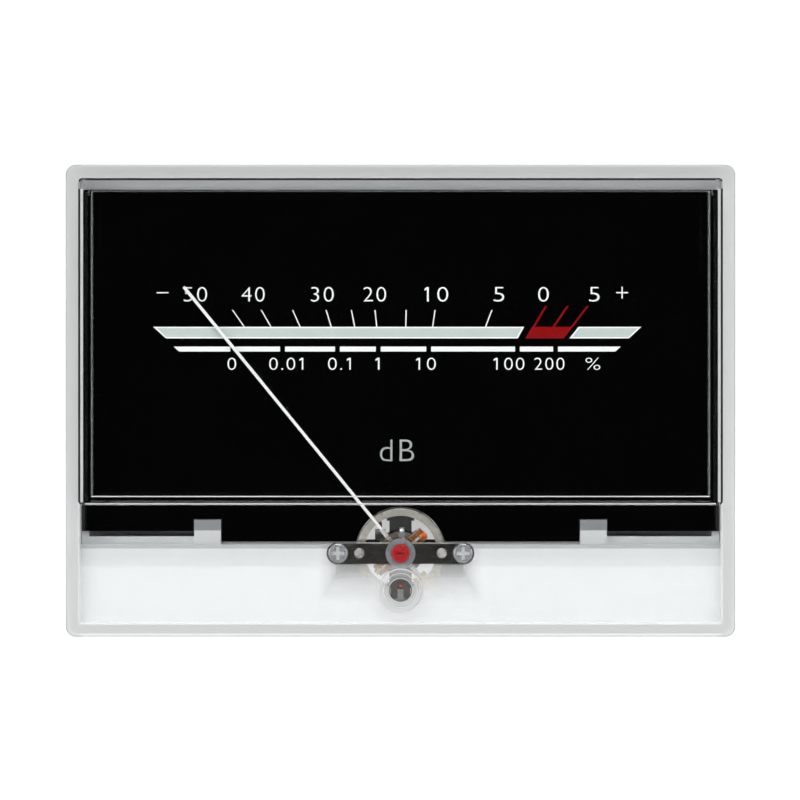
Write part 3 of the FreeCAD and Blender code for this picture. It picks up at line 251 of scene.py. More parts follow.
def band_group():
    """Node group: a smooth step along one axis of the object's own space."""
    group = bpy.data.node_groups.new("axis_band", "ShaderNodeTree")
    sockets = group.interface
    sockets.new_socket("Axis", in_out="INPUT", socket_type="NodeSocketVector")
    for name in ("Start", "End"):
        sockets.new_socket(name, in_out="INPUT", socket_type="NodeSocketFloat")
    sockets.new_socket("Mask", in_out="OUTPUT", socket_type="NodeSocketFloat")
    entry = group.nodes.new("NodeGroupInput")
    exit_node = group.nodes.new("NodeGroupOutput")
    places = group.nodes.new("ShaderNodeTexCoord")
    along = group.nodes.new("ShaderNodeVectorMath")
    along.operation = "DOT_PRODUCT"
    step = group.nodes.new("ShaderNodeMapRange")
    step.interpolation_type = "SMOOTHSTEP"
    link = group.links.new
    link(places.outputs["Object"], along.inputs[0])
    link(entry.outputs["Axis"], along.inputs[1])
    link(along.outputs["Value"], step.inputs["Value"])
    link(entry.outputs["Start"], step.inputs["From Min"])
    link(entry.outputs["End"], step.inputs["From Max"])
    link(step.outputs["Result"], exit_node.inputs["Mask"])
    return group


axis_band = band_group()


def band(tree, axis, start, end):
    """The mask of a step between two places, in millimetres, along an axis."""
    node = tree.nodes.new("ShaderNodeGroup")
    node.node_tree = axis_band
    node.inputs["Axis"].default_value = axis
    node.inputs["Start"].default_value = start * MM
    node.inputs["End"].default_value = end * MM
    return node.outputs["Mask"]


def combined(tree, operation, first, second):
    """One step of arithmetic between two masks, or a mask and a number."""
    node = tree.nodes.new("ShaderNodeMath")
    node.operation = operation
    for socket, value in zip(node.inputs, (first, second)):
        if isinstance(value, float):
            socket.default_value = value
        else:
            tree.links.new(value, socket)
    return node.outputs[0]


def within(tree, axis, low, high):
    """The mask of a slice between two places, in millimetres, along an axis."""
    return combined(tree, "SUBTRACT", band(tree, axis, low, low + MASK_FADE),
                    band(tree, axis, high, high + MASK_FADE))


def distance_from(tree, place, counted=(1, 1, 1)):
    """The distance from a place, in metres, counted along the axes that are 1."""
    places = tree.nodes.new("ShaderNodeTexCoord")
    chosen = tree.nodes.new("ShaderNodeVectorMath")
    chosen.operation = "MULTIPLY"
    chosen.inputs[1].default_value = counted
    away = tree.nodes.new("ShaderNodeVectorMath")
    away.operation = "DISTANCE"
    away.inputs[1].default_value = place
    tree.links.new(places.outputs["Object"], chosen.inputs[0])
    tree.links.new(chosen.outputs["Vector"], away.inputs[0])
    return away.outputs["Value"]


def toned(material, mask, colour):
    """Turn a finish to another colour where a mask is set."""
    tree = material.node_tree
    base = tree.nodes["Principled BSDF"].inputs["Base Color"]
    tones = tree.nodes.new("ShaderNodeMix")
    tones.data_type = "RGBA"
    tones.inputs[MIX_SECOND].default_value = (*colour, 1)
    tree.links.new(base.links[0].from_socket, tones.inputs[MIX_FIRST])
    tree.links.new(mask, tones.inputs[MIX_FACTOR])
    tree.links.new(tones.outputs[MIX_RESULT], base)
    return material


def tone_past(material, axis, start, end, colour):
    """Turn a finish to another colour past a place along an axis."""
    return toned(material, band(material.node_tree, axis, start, end), colour)


# Painted light: the case is painted lighter behind its front rim than on the rim.
case_plastic = tone_past(finish("white_case_plastic", (0.70, 0.71, 0.715), (0.66, 0.67, 0.68),
                                (0.38, 0.55), scale=2500.0, bump=0.00001),
                         ALONG_Y, PAINTED_LIGHT_START, PAINTED_LIGHT_END, (0.90, 0.91, 0.915))
case_tree = case_plastic.node_tree
case_shader = case_tree.nodes["Principled BSDF"]
# Painted glow: near the pivot the inner rear wall emits light, standing in for lamp light; it is no
# lamp.
from_pivot = distance_from(case_tree, (0, 0, PIVOT_Z), counted=(1, 0, 1))
near_pivot = combined(case_tree, "LESS_THAN", from_pivot, GLOW_REACH * MM)
inner_wall = within(case_tree, ALONG_Y, CASE_BACK - INNER_WALL_DEPTH, CASE_BACK - OUTER_SKIN)
glow = combined(case_tree, "MULTIPLY", near_pivot, inner_wall)
case_tree.links.new(combined(case_tree, "MULTIPLY", glow, GLOW),
                    case_shader.inputs["Emission Strength"])
case_shader.inputs["Emission Color"].default_value = GLOW_COLOUR
# Painted shade: the heads of the two tabs, under the window's foot, are painted dark.
tab_heads = combined(case_tree, "MULTIPLY",
                     within(case_tree, ALONG_Z, TAB_SHADE_FOOT, TAB_SHADE_TOP),
                     within(case_tree, ALONG_Y, CASE_FRONT - TAB_MARGIN, DIAL_FRONT_Y / MM))
tab_heads = combined(case_tree, "MULTIPLY", tab_heads,
                     within(case_tree, ALONG_X, -TAB_REACH, TAB_REACH))
dress(toned(case_plastic, tab_heads, TAB_SHADE), "rear_case")

# Terminals: grooved brass studs through the case's rear wall, each with two zinc-plated nuts and a
# washer, and a tinned solder tag inside and outside. Two red sleeved leads run from the inner tags
# to the rear strap and the rear hairspring lug.
brass = finish("bare_brass", (0.76, 0.56, 0.22), (0.60, 0.42, 0.14), (0.2, 0.4), metallic=1.0,
               scale=1500.0, bump=0.000005)
tinned = finish("tinned_metal", (0.66, 0.67, 0.68), (0.50, 0.51, 0.53), (0.2, 0.45), metallic=1.0,
                scale=1600.0, bump=0.00001)
dress(brass, "terminal_studs")
dress(finish("zinc_plate", (0.62, 0.63, 0.65), (0.45, 0.46, 0.48), (0.2, 0.4), metallic=1.0,
             scale=1800.0, bump=0.000002), "terminal_washers", "terminal_nuts")
dress(tinned, "inner_solder_tags", "outer_solder_tags")
dress(finish("red_lead_sleeve", (0.40, 0.012, 0.012), (0.32, 0.01, 0.01), (0.35, 0.5),
             scale=1500.0, bump=0.000005), "movement_leads")

# Lamps: small white circuit boards on the case's partition, each with one square lamp in warm
# resin. Bare tinned leads run down through the partition to collared pins in the rear wall.
dress(finish("white_board", (0.80, 0.81, 0.79), (0.74, 0.75, 0.73), (0.35, 0.5), scale=2000.0,
             bump=0.000006), "lamp_boards")
dress(finish("lamp_resin", (0.85, 0.72, 0.25), (0.80, 0.66, 0.20), (0.2, 0.35), scale=1500.0),
      "lamp_leds")
dress(tinned, "lamp_leads", "lamp_pins")

# Dial plate: one thin sheet, printed gloss black, with a little fine dust in its shine. It has two
# notches for the case's tabs, which locate it, and a cut-out for the movement.
dress(finish("gloss_black_print", (0.0005, 0.0005, 0.0006), (0.0008, 0.0008, 0.0009),
             (0.02, 0.05), scale=700.0), "dial_plate")

# Dial print: bars, strokes and plain numbers laid on the plate in thin ink. Every stroke points
# at the needle's pivot, as on the real scale.
INK = 0.04 * MM
BAR_TOP = 62.2
BAR_FOOT = 59.85
OUTLINE = 0.28
LINE_TOP = 58.2
LINE_FOOT = 57.2
LINE_LEFT = -45.85
LINE_RIGHT = 44.5118
LINE_GAPS = (-33.9, -23.85, -12.75, -4.5, 5.7, 23.65, 31.35)
LINE_GAP_WIDTH = 1.0
STROKE_TOP = 65.6
STROKE_WIDTH = 0.24
WHITE_STROKES = (-31.6, -26.2, -20.3, -14.0, -9.25, -4.8, 1.07, 6.5, 17.2)
RED_STROKE_TOP = 66.4
RED_STROKE_WIDTH = 0.45
RED_STROKES = (26.95, 30.95, 34.65)
UPPER_BASELINE = 67.3
UPPER_CAP = 2.95
LOWER_BASELINE = 53.5
LOWER_CAP = 2.45
UNIT_X = -0.7
UNIT_BASELINE = 35.05
UNIT_CAP = 4.35
UNIT_WIDTH = 6.9
TEXT_CURVE_STEPS = 6
TEXT_THINNING = -0.014
TEXT_SPACING = 1.12
TEXT_HALF_DEPTH = 0.5
WELD_REACH = 0.0000005
FLAG_WIDTH = 0.5
FLAG_TIP_TOP = 0.13
FLAG_TIP_FOOT = 0.26
FLAG_ROOT_FOOT = 0.16
SIGN_Z = 69.1
SIGN_HALF = 1.2
SIGN_STROKE = 0.12
MINUS_X = -48.1
PLUS_X = 44.8

white_ink = finish("white_ink", (0.94, 0.95, 0.95), (0.88, 0.90, 0.90), (0.35, 0.5), scale=1500.0)
grey_ink = finish("grey_green_ink", (0.55, 0.62, 0.595), (0.51, 0.58, 0.555), (0.3, 0.45),
                  scale=1500.0)
red_ink = finish("red_ink", (0.27, 0.0005, 0.001), (0.23, 0.0005, 0.001), (0.15, 0.25), scale=1500.0)


def toward_pivot(x, z_from, z_to):
    """X in millimetres where the line from the pivot through (x, z_from) reaches z_to."""
    foot = PIVOT_Z / MM
    return x * (z_to - foot) / (z_from - foot)


def ink_prism(name, corners, material):
    """A flat patch of ink with (x, z) corners in millimetres, made from a plane."""
    bpy.ops.mesh.primitive_plane_add(size=1.0, location=(0, 0, 0))
    patch = bpy.context.object
    patch.name = name
    for vertex, (x, z) in zip(patch.data.vertices, (corners[0], corners[1], corners[3],
                                                   corners[2])):
        vertex.co = (x * MM, DIAL_FRONT_Y, z * MM)
    patch.data.materials.append(material)
    return patch


def raise_ink(patch):
    """Give a flat patch the ink's thickness, towards the viewer, with outward faces."""
    bpy.ops.object.mode_set(mode="EDIT")
    bpy.ops.mesh.select_all(action="SELECT")
    bpy.ops.mesh.extrude_region_move(TRANSFORM_OT_translate={"value": (0, -INK, 0)})
    bpy.ops.mesh.select_all(action="SELECT")
    bpy.ops.mesh.normals_make_consistent(inside=False)
    bpy.ops.object.mode_set(mode="OBJECT")
    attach(patch, "case")
    bpy.ops.object.select_all(action="DESELECT")


def slanted_bar(name, left, right, material, border):
    """A bar whose ends point at the pivot, with an outline in a second ink if one is given."""
    corners = [(toward_pivot(left, BAR_TOP, BAR_FOOT), BAR_FOOT),
               (toward_pivot(right, BAR_TOP, BAR_FOOT), BAR_FOOT),
               (right, BAR_TOP), (left, BAR_TOP)]
    patch = ink_prism(name, corners, material)
    if border:
        patch.data.materials.append(border)
        bpy.ops.object.mode_set(mode="EDIT")
        bpy.ops.mesh.select_all(action="SELECT")
        bpy.context.object.active_material_index = 1
        bpy.ops.object.material_slot_assign()
        bpy.ops.mesh.inset(thickness=OUTLINE * MM)
        bpy.context.object.active_material_index = 0
        bpy.ops.object.material_slot_assign()
        bpy.ops.object.mode_set(mode="OBJECT")
    raise_ink(patch)


BARS = (("scale_bar_main", -50.0, 25.0, grey_ink, white_ink),
        ("scale_bar_red", 26.6, 34.8, red_ink, None),
        ("scale_bar_end", 36.0, 48.7, grey_ink, white_ink))
for name, left, right, ink, border in BARS:
    slanted_bar(name, left, right, ink, border)

line_starts = [LINE_LEFT] + [gap + LINE_GAP_WIDTH / 2 for gap in LINE_GAPS]
line_stops = [gap - LINE_GAP_WIDTH / 2 for gap in LINE_GAPS] + [LINE_RIGHT]
for number, (start, stop) in enumerate(zip(line_starts, line_stops)):
    lean_in = toward_pivot(start, LINE_TOP, LINE_FOOT) if number == 0 else start
    lean_out = toward_pivot(stop, LINE_TOP, LINE_FOOT) if number == len(LINE_GAPS) else stop
    raise_ink(ink_prism(f"scale_line_{number}",
                        [(lean_in, LINE_FOOT), (lean_out, LINE_FOOT),
                         (stop, LINE_TOP), (start, LINE_TOP)], white_ink))


def stroke(name, x, top, width, material):
    """A thin radial mark that stands on the bar."""
    half = width / 2
    above = toward_pivot(x, BAR_TOP, top)
    raise_ink(ink_prism(name, [(x - half, BAR_TOP), (x + half, BAR_TOP),
                               (above + half, top), (above - half, top)], material))


for number, x in enumerate(WHITE_STROKES):
    stroke(f"scale_stroke_{number}", x, STROKE_TOP, STROKE_WIDTH, white_ink)
for number, x in enumerate(RED_STROKES):
    stroke(f"red_stroke_{number}", x, RED_STROKE_TOP, RED_STROKE_WIDTH, red_ink)


def printed(name, words, x, baseline, cap, width, material):
    """Plain characters in ink, set to a cap height and an overall width in millimetres."""
    bpy.ops.object.text_add(location=(0, 0, 0))
    text = bpy.context.object
    text.name = name
    text.data.body = words
    text.data.resolution_u = TEXT_CURVE_STEPS
    text.data.offset = TEXT_THINNING
    text.data.space_character = TEXT_SPACING
    text.data.extrude = TEXT_HALF_DEPTH
    bpy.ops.object.convert(target="MESH")
    text = bpy.context.object
    points = text.data.vertices
    low = min(vertex.co.x for vertex in points)
    high = max(vertex.co.x for vertex in points)
    foot = min(vertex.co.y for vertex in points)
    top = max(vertex.co.y for vertex in points)
    for vertex in points:
        across = (vertex.co.x - (low + high) / 2) / (high - low) * width
        upward = (vertex.co.y - foot) / (top - foot) * cap
        depth = (vertex.co.z + TEXT_HALF_DEPTH) * INK
        vertex.co = ((x + across) * MM, DIAL_FRONT_Y - depth, (baseline + upward) * MM)
    text.data.materials.append(material)
    bpy.ops.object.mode_set(mode="EDIT")
    bpy.ops.mesh.select_all(action="SELECT")
    bpy.ops.mesh.remove_doubles(threshold=WELD_REACH)
    bpy.ops.mesh.normals_make_consistent(inside=False)
    bpy.ops.object.mode_set(mode="OBJECT")
    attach(text, "case")
    bpy.ops.object.select_all(action="DESELECT")
    if "1" in words:
        places = sorted({round(vertex.co.x / MM, 3) for vertex in points})
        bar = places[0] if words[0] == "1" else places[-2]
        tip = bar - FLAG_WIDTH
        top = baseline + cap
        flag = [(tip, top - FLAG_TIP_FOOT * cap), (bar, top - FLAG_ROOT_FOOT * cap), (bar, top),
                (tip, top - FLAG_TIP_TOP * cap)]
        raise_ink(ink_prism(f"{name}_flag", flag, material))


UPPER_NUMBERS = (("50", -41.45, 4.7), ("40", -29.8, 4.7), ("30", -15.8, 4.6), ("20", -5.2, 4.6),
                 ("10", 7.5, 4.3), ("5", 19.9, 2.1), ("0", 28.9, 2.15), ("5", 39.2, 2.1))
LOWER_NUMBERS = (("0", -34.1, 1.75), ("0.01", -23.1, 6.9), ("0.1", -12.35, 4.6), ("1", -4.4, 0.34),
                 ("10", 5.4, 3.5), ("100", 22.2, 5.7), ("200", 30.1, 6.1), ("%", 38.9, 3.0))
for number, (words, x, width) in enumerate(UPPER_NUMBERS):
    printed(f"upper_number_{number}", words, x, UPPER_BASELINE, UPPER_CAP, width, white_ink)
for number, (words, x, width) in enumerate(LOWER_NUMBERS):
    printed(f"lower_number_{number}", words, x, LOWER_BASELINE, LOWER_CAP, width, white_ink)
pale_ink = finish("pale_ink", (0.40, 0.42, 0.42), (0.34, 0.36, 0.36), (0.3, 0.45), scale=1500.0)
printed("unit_mark", "dB", UNIT_X, UNIT_BASELINE, UNIT_CAP, UNIT_WIDTH, pale_ink)


def ink_block(name, left, right, low, high):
    """An upright rectangle of white ink."""
    raise_ink(ink_prism(name, [(left, low), (right, low), (right, high), (left, high)], white_ink))


SIGN_LOW = SIGN_Z - SIGN_STROKE
SIGN_HIGH = SIGN_Z + SIGN_STROKE
for name, x in (("minus_sign", MINUS_X), ("plus_sign", PLUS_X)):
    ink_block(name, x - SIGN_HALF, x + SIGN_HALF, SIGN_LOW, SIGN_HIGH)
for name, low, high in (("plus_sign_over", SIGN_HIGH, SIGN_Z + SIGN_HALF),
                        ("plus_sign_under", SIGN_Z - SIGN_HALF, SIGN_LOW)):
    ink_block(name, PLUS_X - SIGN_STROKE, PLUS_X + SIGN_STROKE, low, high)

# Core and its holders: a round ground magnet with softened ends, held in the middle of the ring by
# two T-shaped blocks of black moulded plastic. The rear strap's insulating washer is alike.
dress(finish("ground_magnet", (0.42, 0.42, 0.43), (0.30, 0.30, 0.31), (0.2, 0.4), metallic=1.0,
             scale=900.0, stretch=(1, 1, 8), bump=0.000004), "core_magnet")
dress(finish("black_moulding", (0.012, 0.012, 0.012), (0.02, 0.02, 0.02), (0.35, 0.5),
             scale=2000.0, bump=0.00001), "magnet_blocks", "insulating_washer")

# Movement frame: a nickel-plated iron ring turned on a lathe, with two brass stop pins in its front
# edge, riveted between two dark polished steel straps. Two cross-recess screws fix the front strap
# to the case's bosses.
STRAP_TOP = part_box("front_bridge")[1][2] / MM
# Painted highlight along the top edge of the straps.
STRAP_GLEAM_FOOT = STRAP_TOP - 0.4
STRAP_GLEAM_TOP = STRAP_TOP - 0.1
SCREW_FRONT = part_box("bridge_screws")[0][1] / MM
# Painted highlight in the screws' cross recesses: where it starts and how deep it reaches.
SCREW_SKIN = 0.1
RECESS_DEPTH = 0.55
dress(finish("turned_nickel", (0.66, 0.63, 0.57), (0.52, 0.50, 0.45), (0.25, 0.42), metallic=1.0,
             scale=1200.0, stretch=(1, 6, 1), bump=0.000004), "yoke_ring")
# Painted highlight: the top edge of each strap is painted pale, as the light it catches.
dress(tone_past(finish("dark_polished_strip", (0.105, 0.097, 0.092), (0.05, 0.046, 0.045),
                       (0.12, 0.3), metallic=1.0, scale=1500.0, stretch=(0.15, 1, 3),
                       bump=0.000003),
                ALONG_Z, STRAP_GLEAM_FOOT, STRAP_GLEAM_TOP, (0.85, 0.84, 0.82)),
      "front_bridge", "rear_bridge")
# Painted highlight: inward from a thin front skin the screws are painted lighter, so the bottom of
# each cross recess shows near white.
dress(tone_past(finish("zinc_screw", (0.50, 0.51, 0.53), (0.36, 0.37, 0.39), (0.25, 0.35),
                       metallic=1.0, scale=1800.0, bump=0.000001),
                ALONG_Y, SCREW_FRONT + SCREW_SKIN, SCREW_FRONT + RECESS_DEPTH, (0.92, 0.92, 0.93)),
      "bridge_screws")
dress(finish("bright_rivet", (0.88, 0.87, 0.85), (0.55, 0.54, 0.50), (0.2, 0.4), metallic=1.0,
             scale=1200.0, bump=0.00003), "front_bridge_rivets", "rear_bridge_rivets")
dress(brass, "stop_pins")

# Moving coil: enamelled copper wound on a thin aluminium frame, with a brass seat and a hardened
# steel pivot at each end. The aluminium cross on its front seat carries the brass weights, and
# spring bronze hairsprings hold it.
dress(finish("enamelled_copper", (0.70, 0.30, 0.11), (0.50, 0.18, 0.06), (0.2, 0.35),
             metallic=1.0, scale=600.0, stretch=(1, 14, 1), bump=0.00004, coat=0.4),
      "coil_winding")
dress(finish("bare_aluminium", (0.80, 0.81, 0.82), (0.66, 0.67, 0.68), (0.25, 0.45),
             metallic=1.0, scale=1500.0, bump=0.000004), "coil_former", "balance_cross")
dress(brass, "front_pivot_base", "rear_pivot_base", "side_weights", "tail_weight")
dress(finish("hard_steel", (0.70, 0.71, 0.73), (0.60, 0.61, 0.63), (0.08, 0.15), metallic=1.0),
      "front_pivot", "rear_pivot")
dress(finish("spring_bronze", (0.72, 0.38, 0.16), (0.58, 0.28, 0.10), (0.2, 0.3), metallic=1.0),
      "front_hairspring", "rear_hairspring")

# Needle: a drawn aluminium tube, pushed over the spigot of the balance cross and painted flat
# white, so that it shows on the black dial.
dress(finish("white_needle_paint", (0.95, 0.95, 0.94), (0.90, 0.90, 0.89), (0.4, 0.55),
             scale=2500.0), "needle")

# Jewel screws: each holds a ruby cup for a pivot. The front one is lacquered red so that its slot
# nearly fills, and the rear one is a slotted brass screw, locked by a brass nut.
JEWEL_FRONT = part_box("front_jewel_screw")[0][1] / MM
# Painted shade in the front jewel screw's slot: where it starts and its depth.
SLOT_LIP = 0.05
SLOT_DEPTH = 0.3
# Painted shade: deeper than the slot's lip the red screw is painted nearly black, as the shade in
# its slot.
dress(tone_past(finish("red_lacquer", (0.42, 0.003, 0.005), (0.30, 0.002, 0.004), (0.2, 0.35),
                       scale=1500.0, coat=0.6, bump=0.000005),
                ALONG_Y, JEWEL_FRONT + SLOT_LIP, JEWEL_FRONT + SLOT_DEPTH, (0.08, 0.001, 0.001)),
      "front_jewel_screw")
dress(finish("polished_ruby", (0.45, 0.02, 0.06), (0.35, 0.01, 0.04), (0.05, 0.1)),
      "front_jewel", "rear_jewel")
dress(brass, "rear_jewel_screw", "rear_lock_nut")

# Zero lever, its friction washer and the rear lug: grey sheet metal, punched and bent. The lever
# turns on the front jewel screw, with a tab above for the hairspring and a fork below for the
# adjuster's pin.
# Painted shade on the lever's fork: the heights of its fade.
FORK_SHADE_TOP = 12.5
FORK_SHADE_FOOT = 11.5
# Painted shade: below its middle the lever is painted nearly black, so its fork stands in shade.
dress(tone_past(finish("lever_sheet", (0.36, 0.37, 0.39), (0.24, 0.25, 0.27), (0.25, 0.45),
                       metallic=1.0, scale=1500.0, bump=0.000005),
                (0, 0, -1), -FORK_SHADE_TOP, -FORK_SHADE_FOOT, (0.05, 0.045, 0.04)), "zero_lever")
dress(finish("grey_sheet", (0.36, 0.37, 0.39), (0.24, 0.25, 0.27), (0.25, 0.45), metallic=1.0,
             scale=1500.0, bump=0.000005), "friction_washer", "rear_spring_lug")

# Set drops: solder where the front hairspring is fixed to the lever's tab, and orange lacquer
# that locks the side weight once the needle is balanced.
LEVER_LOW, LEVER_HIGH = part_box("zero_lever")
WEIGHT_LOW, WEIGHT_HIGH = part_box("side_weights")
SOLDER_CENTRE = (0.28, LEVER_LOW[1] / MM + 0.02, LEVER_HIGH[2] / MM - 0.55)
SOLDER_RADII = (0.5, 0.3, 0.6)
LACQUER_CENTRE = (WEIGHT_HIGH[0] / MM - 0.7, WEIGHT_LOW[1] / MM + 0.25, WEIGHT_HIGH[2] / MM - 0.9)
LACQUER_RADII = (0.75, 0.35, 0.65)
SWELL = 0.08
RIPPLE = 0.05


def drop(name, centre, radii, material, body):
    """A set drop of solder or lacquer: an eased ball, flattened and slightly uneven."""
    bpy.ops.mesh.primitive_uv_sphere_add(segments=24, ring_count=14, radius=1.0,
                                         location=(0, 0, 0))
    blob = bpy.context.object
    blob.name = name
    for vertex in blob.data.vertices:
        x, y, z = vertex.co
        swell = 1 + SWELL * math.sin(3 * x + 2 * z) + RIPPLE * math.cos(4 * z - y)
        vertex.co = [(centre[i] + radii[i] * swell * (x, y, z)[i]) * MM for i in range(3)]
    bpy.ops.object.shade_smooth()
    blob.data.materials.append(material)
    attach(blob, body)
    bpy.ops.object.select_all(action="DESELECT")


solder = finish("bright_solder", (0.85, 0.85, 0.86), (0.70, 0.70, 0.72), (0.15, 0.3), metallic=1.0,
                scale=900.0, bump=0.000006)
orange = finish("orange_lacquer", (0.75, 0.10, 0.02), (0.60, 0.06, 0.01), (0.12, 0.25),
                scale=900.0, coat=0.5)
drop("tab_solder", SOLDER_CENTRE, SOLDER_RADII, solder, "lever")
drop("weight_lacquer", LACQUER_CENTRE, LACQUER_RADII, orange, "moving_coil")

# Light diffuser: one flat frosted film in front of the lever, tucked between the cover's side and
# foot walls, with a hole for the adjuster and a cut-out for the movement. It veils the lamps,
# and the lower half of the movement more the lower it gets.
# Its top strip, level with the partition's front edge under the dial, is painted darker and more
# opaque: painted shade.
FILM_HALF = 64.55
FILM_FOOT = 2.45
FILM_TOP = 18.4
FILM_FRONT = -12.1
FILM_THICKNESS = 0.06
# Painted shade on the film's top strip: where it starts, its fade and how opaque it is.
LEDGE_SHADE_FOOT = 17.6
LEDGE_SHADE_FADE = 0.1
LEDGE_SHADE_VEIL = 0.8
VEIL = 0.93
CENTRE_INNER = 11.0
CENTRE_OUTER = 17.0
CENTRE_CLEARING = 0.83
CENTRE_CLEARING_FOOT = 6.0
SIDE_CLEARING = 0.17
SIDE_CLEARING_FOOT = 12.5
SIDE_CLEARING_TOP = 17.0
NOTCH_FOOT = 14.2
NOTCH_RADIUS = 2.25
SCREW_X = 12.6
ADJUSTER_Z = 9.35
COLLAR_RADIUS = 4.45
HOLE_RADIUS = 2.35
CUTTER_HALF_DEPTH = 1.0
CUTTER_HALF_HEIGHT = 5.0
EDGE_EASE = 0.2


def slab(name, low, high, material, body):
    """A thin plate between two corners in millimetres, made from a cube with its edges eased."""
    bpy.ops.mesh.primitive_cube_add(size=1.0, location=(0, 0, 0))
    plate = bpy.context.object
    plate.name = name
    for vertex in plate.data.vertices:
        vertex.co = [(low[i] + (high[i] - low[i]) * (vertex.co[i] + 0.5)) * MM for i in range(3)]
    ease = min(high[i] - low[i] for i in range(3)) * EDGE_EASE * MM
    bpy.ops.object.mode_set(mode="EDIT")
    bpy.ops.mesh.select_all(action="SELECT")
    bpy.ops.mesh.bevel(offset=ease, segments=2, affect="EDGES")
    bpy.ops.mesh.normals_make_consistent(inside=False)
    bpy.ops.object.mode_set(mode="OBJECT")
    plate.data.materials.append(material)
    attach(plate, body)
    bpy.ops.object.select_all(action="DESELECT")
    return plate


# Painted shade: the film's top strip, under the dial, is painted darker than the rest.
frosted = tone_past(finish("frosted_film", (0.76, 0.77, 0.775), (0.72, 0.73, 0.74), (0.6, 0.75),
                           scale=2500.0),
                    ALONG_Z, LEDGE_SHADE_FOOT - LEDGE_SHADE_FADE, LEDGE_SHADE_FOOT + LEDGE_SHADE_FADE, (0.47, 0.48, 0.485))
film_tree = frosted.node_tree


def cleared(share, foot, top):
    """The veil's strength, less a share that clears between two heights."""
    clearing = combined(film_tree, "MULTIPLY", share, band(film_tree, ALONG_Z, foot, top))
    return combined(film_tree, "SUBTRACT", VEIL, clearing)


past_left = band(film_tree, ALONG_X, -CENTRE_OUTER, -CENTRE_INNER)
past_right = band(film_tree, ALONG_X, CENTRE_INNER, CENTRE_OUTER)
at_centre = combined(film_tree, "SUBTRACT", past_left, past_right)
at_sides = combined(film_tree, "SUBTRACT", 1.0, at_centre)
veil_centre = cleared(CENTRE_CLEARING, CENTRE_CLEARING_FOOT, NOTCH_FOOT)
veil_side = combined(film_tree, "MULTIPLY", at_sides,
                     cleared(SIDE_CLEARING, SIDE_CLEARING_FOOT, SIDE_CLEARING_TOP))
veil = combined(film_tree, "MAXIMUM", veil_centre, veil_side)
# Painted shade: the film's darker top strip is made more opaque at the sides.
ledge_shade_veil = combined(film_tree, "MULTIPLY", LEDGE_SHADE_VEIL,
                      band(film_tree, ALONG_Z, LEDGE_SHADE_FOOT, LEDGE_SHADE_FOOT + MASK_FADE))
veil = combined(film_tree, "MAXIMUM", veil, combined(film_tree, "MULTIPLY", at_sides, ledge_shade_veil))
from_adjuster = distance_from(film_tree, (0, FILM_FRONT * MM, ADJUSTER_Z * MM))
outside = combined(film_tree, "SMOOTH_MIN", 1.0,
                   combined(film_tree, "DIVIDE", from_adjuster, COLLAR_RADIUS * MM))
veil = combined(film_tree, "MULTIPLY", veil, combined(film_tree, "POWER", outside, 2.0))
film_tree.links.new(veil, film_tree.nodes["Principled BSDF"].inputs["Alpha"])

film = slab("light_diffuser", (-FILM_HALF, FILM_FRONT, FILM_FOOT),
            (FILM_HALF, FILM_FRONT + FILM_THICKNESS, FILM_TOP), frosted, "case")
tools = []
for x, z, radius in ((0, ADJUSTER_Z, HOLE_RADIUS), (-SCREW_X, PIVOT_Z / MM, NOTCH_RADIUS),
                     (SCREW_X, PIVOT_Z / MM, NOTCH_RADIUS)):
    bpy.ops.mesh.primitive_cylinder_add(vertices=96, radius=radius * MM,
                                        depth=2 * CUTTER_HALF_DEPTH * MM,
                                        rotation=(math.radians(90), 0, 0),
                                        location=(x * MM, FILM_FRONT * MM, z * MM))
    tools.append(bpy.context.object)
cutter_z = PIVOT_Z + (CUTTER_HALF_HEIGHT - NOTCH_RADIUS) * MM
bpy.ops.mesh.primitive_cube_add(size=2 * MM, location=(0, FILM_FRONT * MM, cutter_z))
tools.append(bpy.context.object)
tools[-1].scale = (SCREW_X, CUTTER_HALF_DEPTH, CUTTER_HALF_HEIGHT)
for tool in tools:
    cut = film.modifiers.new("cut", "BOOLEAN")
    cut.operation = "DIFFERENCE"
    cut.solver = "EXACT"
    cut.object = tool
    bpy.context.view_layer.objects.active = film
    bpy.ops.object.modifier_apply(modifier=cut.name)
    bpy.data.objects.remove(tool)
bpy.ops.object.select_all(action="DESELECT")

# Edge tapes: a strip of black tape stuck along each side of the dial, level with its face, so that
# no light from the lamps leaks past the plate.
DIAL_LOW, DIAL_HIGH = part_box("dial_plate")
DIAL_SIDE_FOOT = 20.9
TAPE_GAP = 0.02
TAPE_WIDTH = 0.5
TAPE_THICKNESS = 0.12
# The same black also paints the dark lines on the window's edges further on.
black_tape_and_painted_edge_lines = finish("black_tape_and_painted_edge_lines", (0.002, 0.002, 0.002), (0.004, 0.004, 0.004), (0.3, 0.5),
                    scale=1500.0, bump=0.000004)
tape_inner = DIAL_HIGH[0] / MM + TAPE_GAP
for side, name in ((-1, "left"), (1, "right")):
    left, right = sorted((side * tape_inner, side * (tape_inner + TAPE_WIDTH)))
    slab(f"edge_tape_{name}", (left, DIAL_LOW[1] / MM, DIAL_SIDE_FOOT),
         (right, DIAL_LOW[1] / MM + TAPE_THICKNESS, DIAL_HIGH[2] / MM), black_tape_and_painted_edge_lines, "case")

# Front cover and zero adjuster: one clear moulding with a raised window, a flange and a skirt,
# polished in the tool. Along its sides, top and foot it carries painted light, a share of matt
# white that stands in for the light seen through the flange and skirt. The adjuster is a slotted
# screw of the same clear plastic, seated in the cover's collar.
CLEAR_TINT = (0.985, 0.992, 0.99)
CLEAR_IOR = 1.49
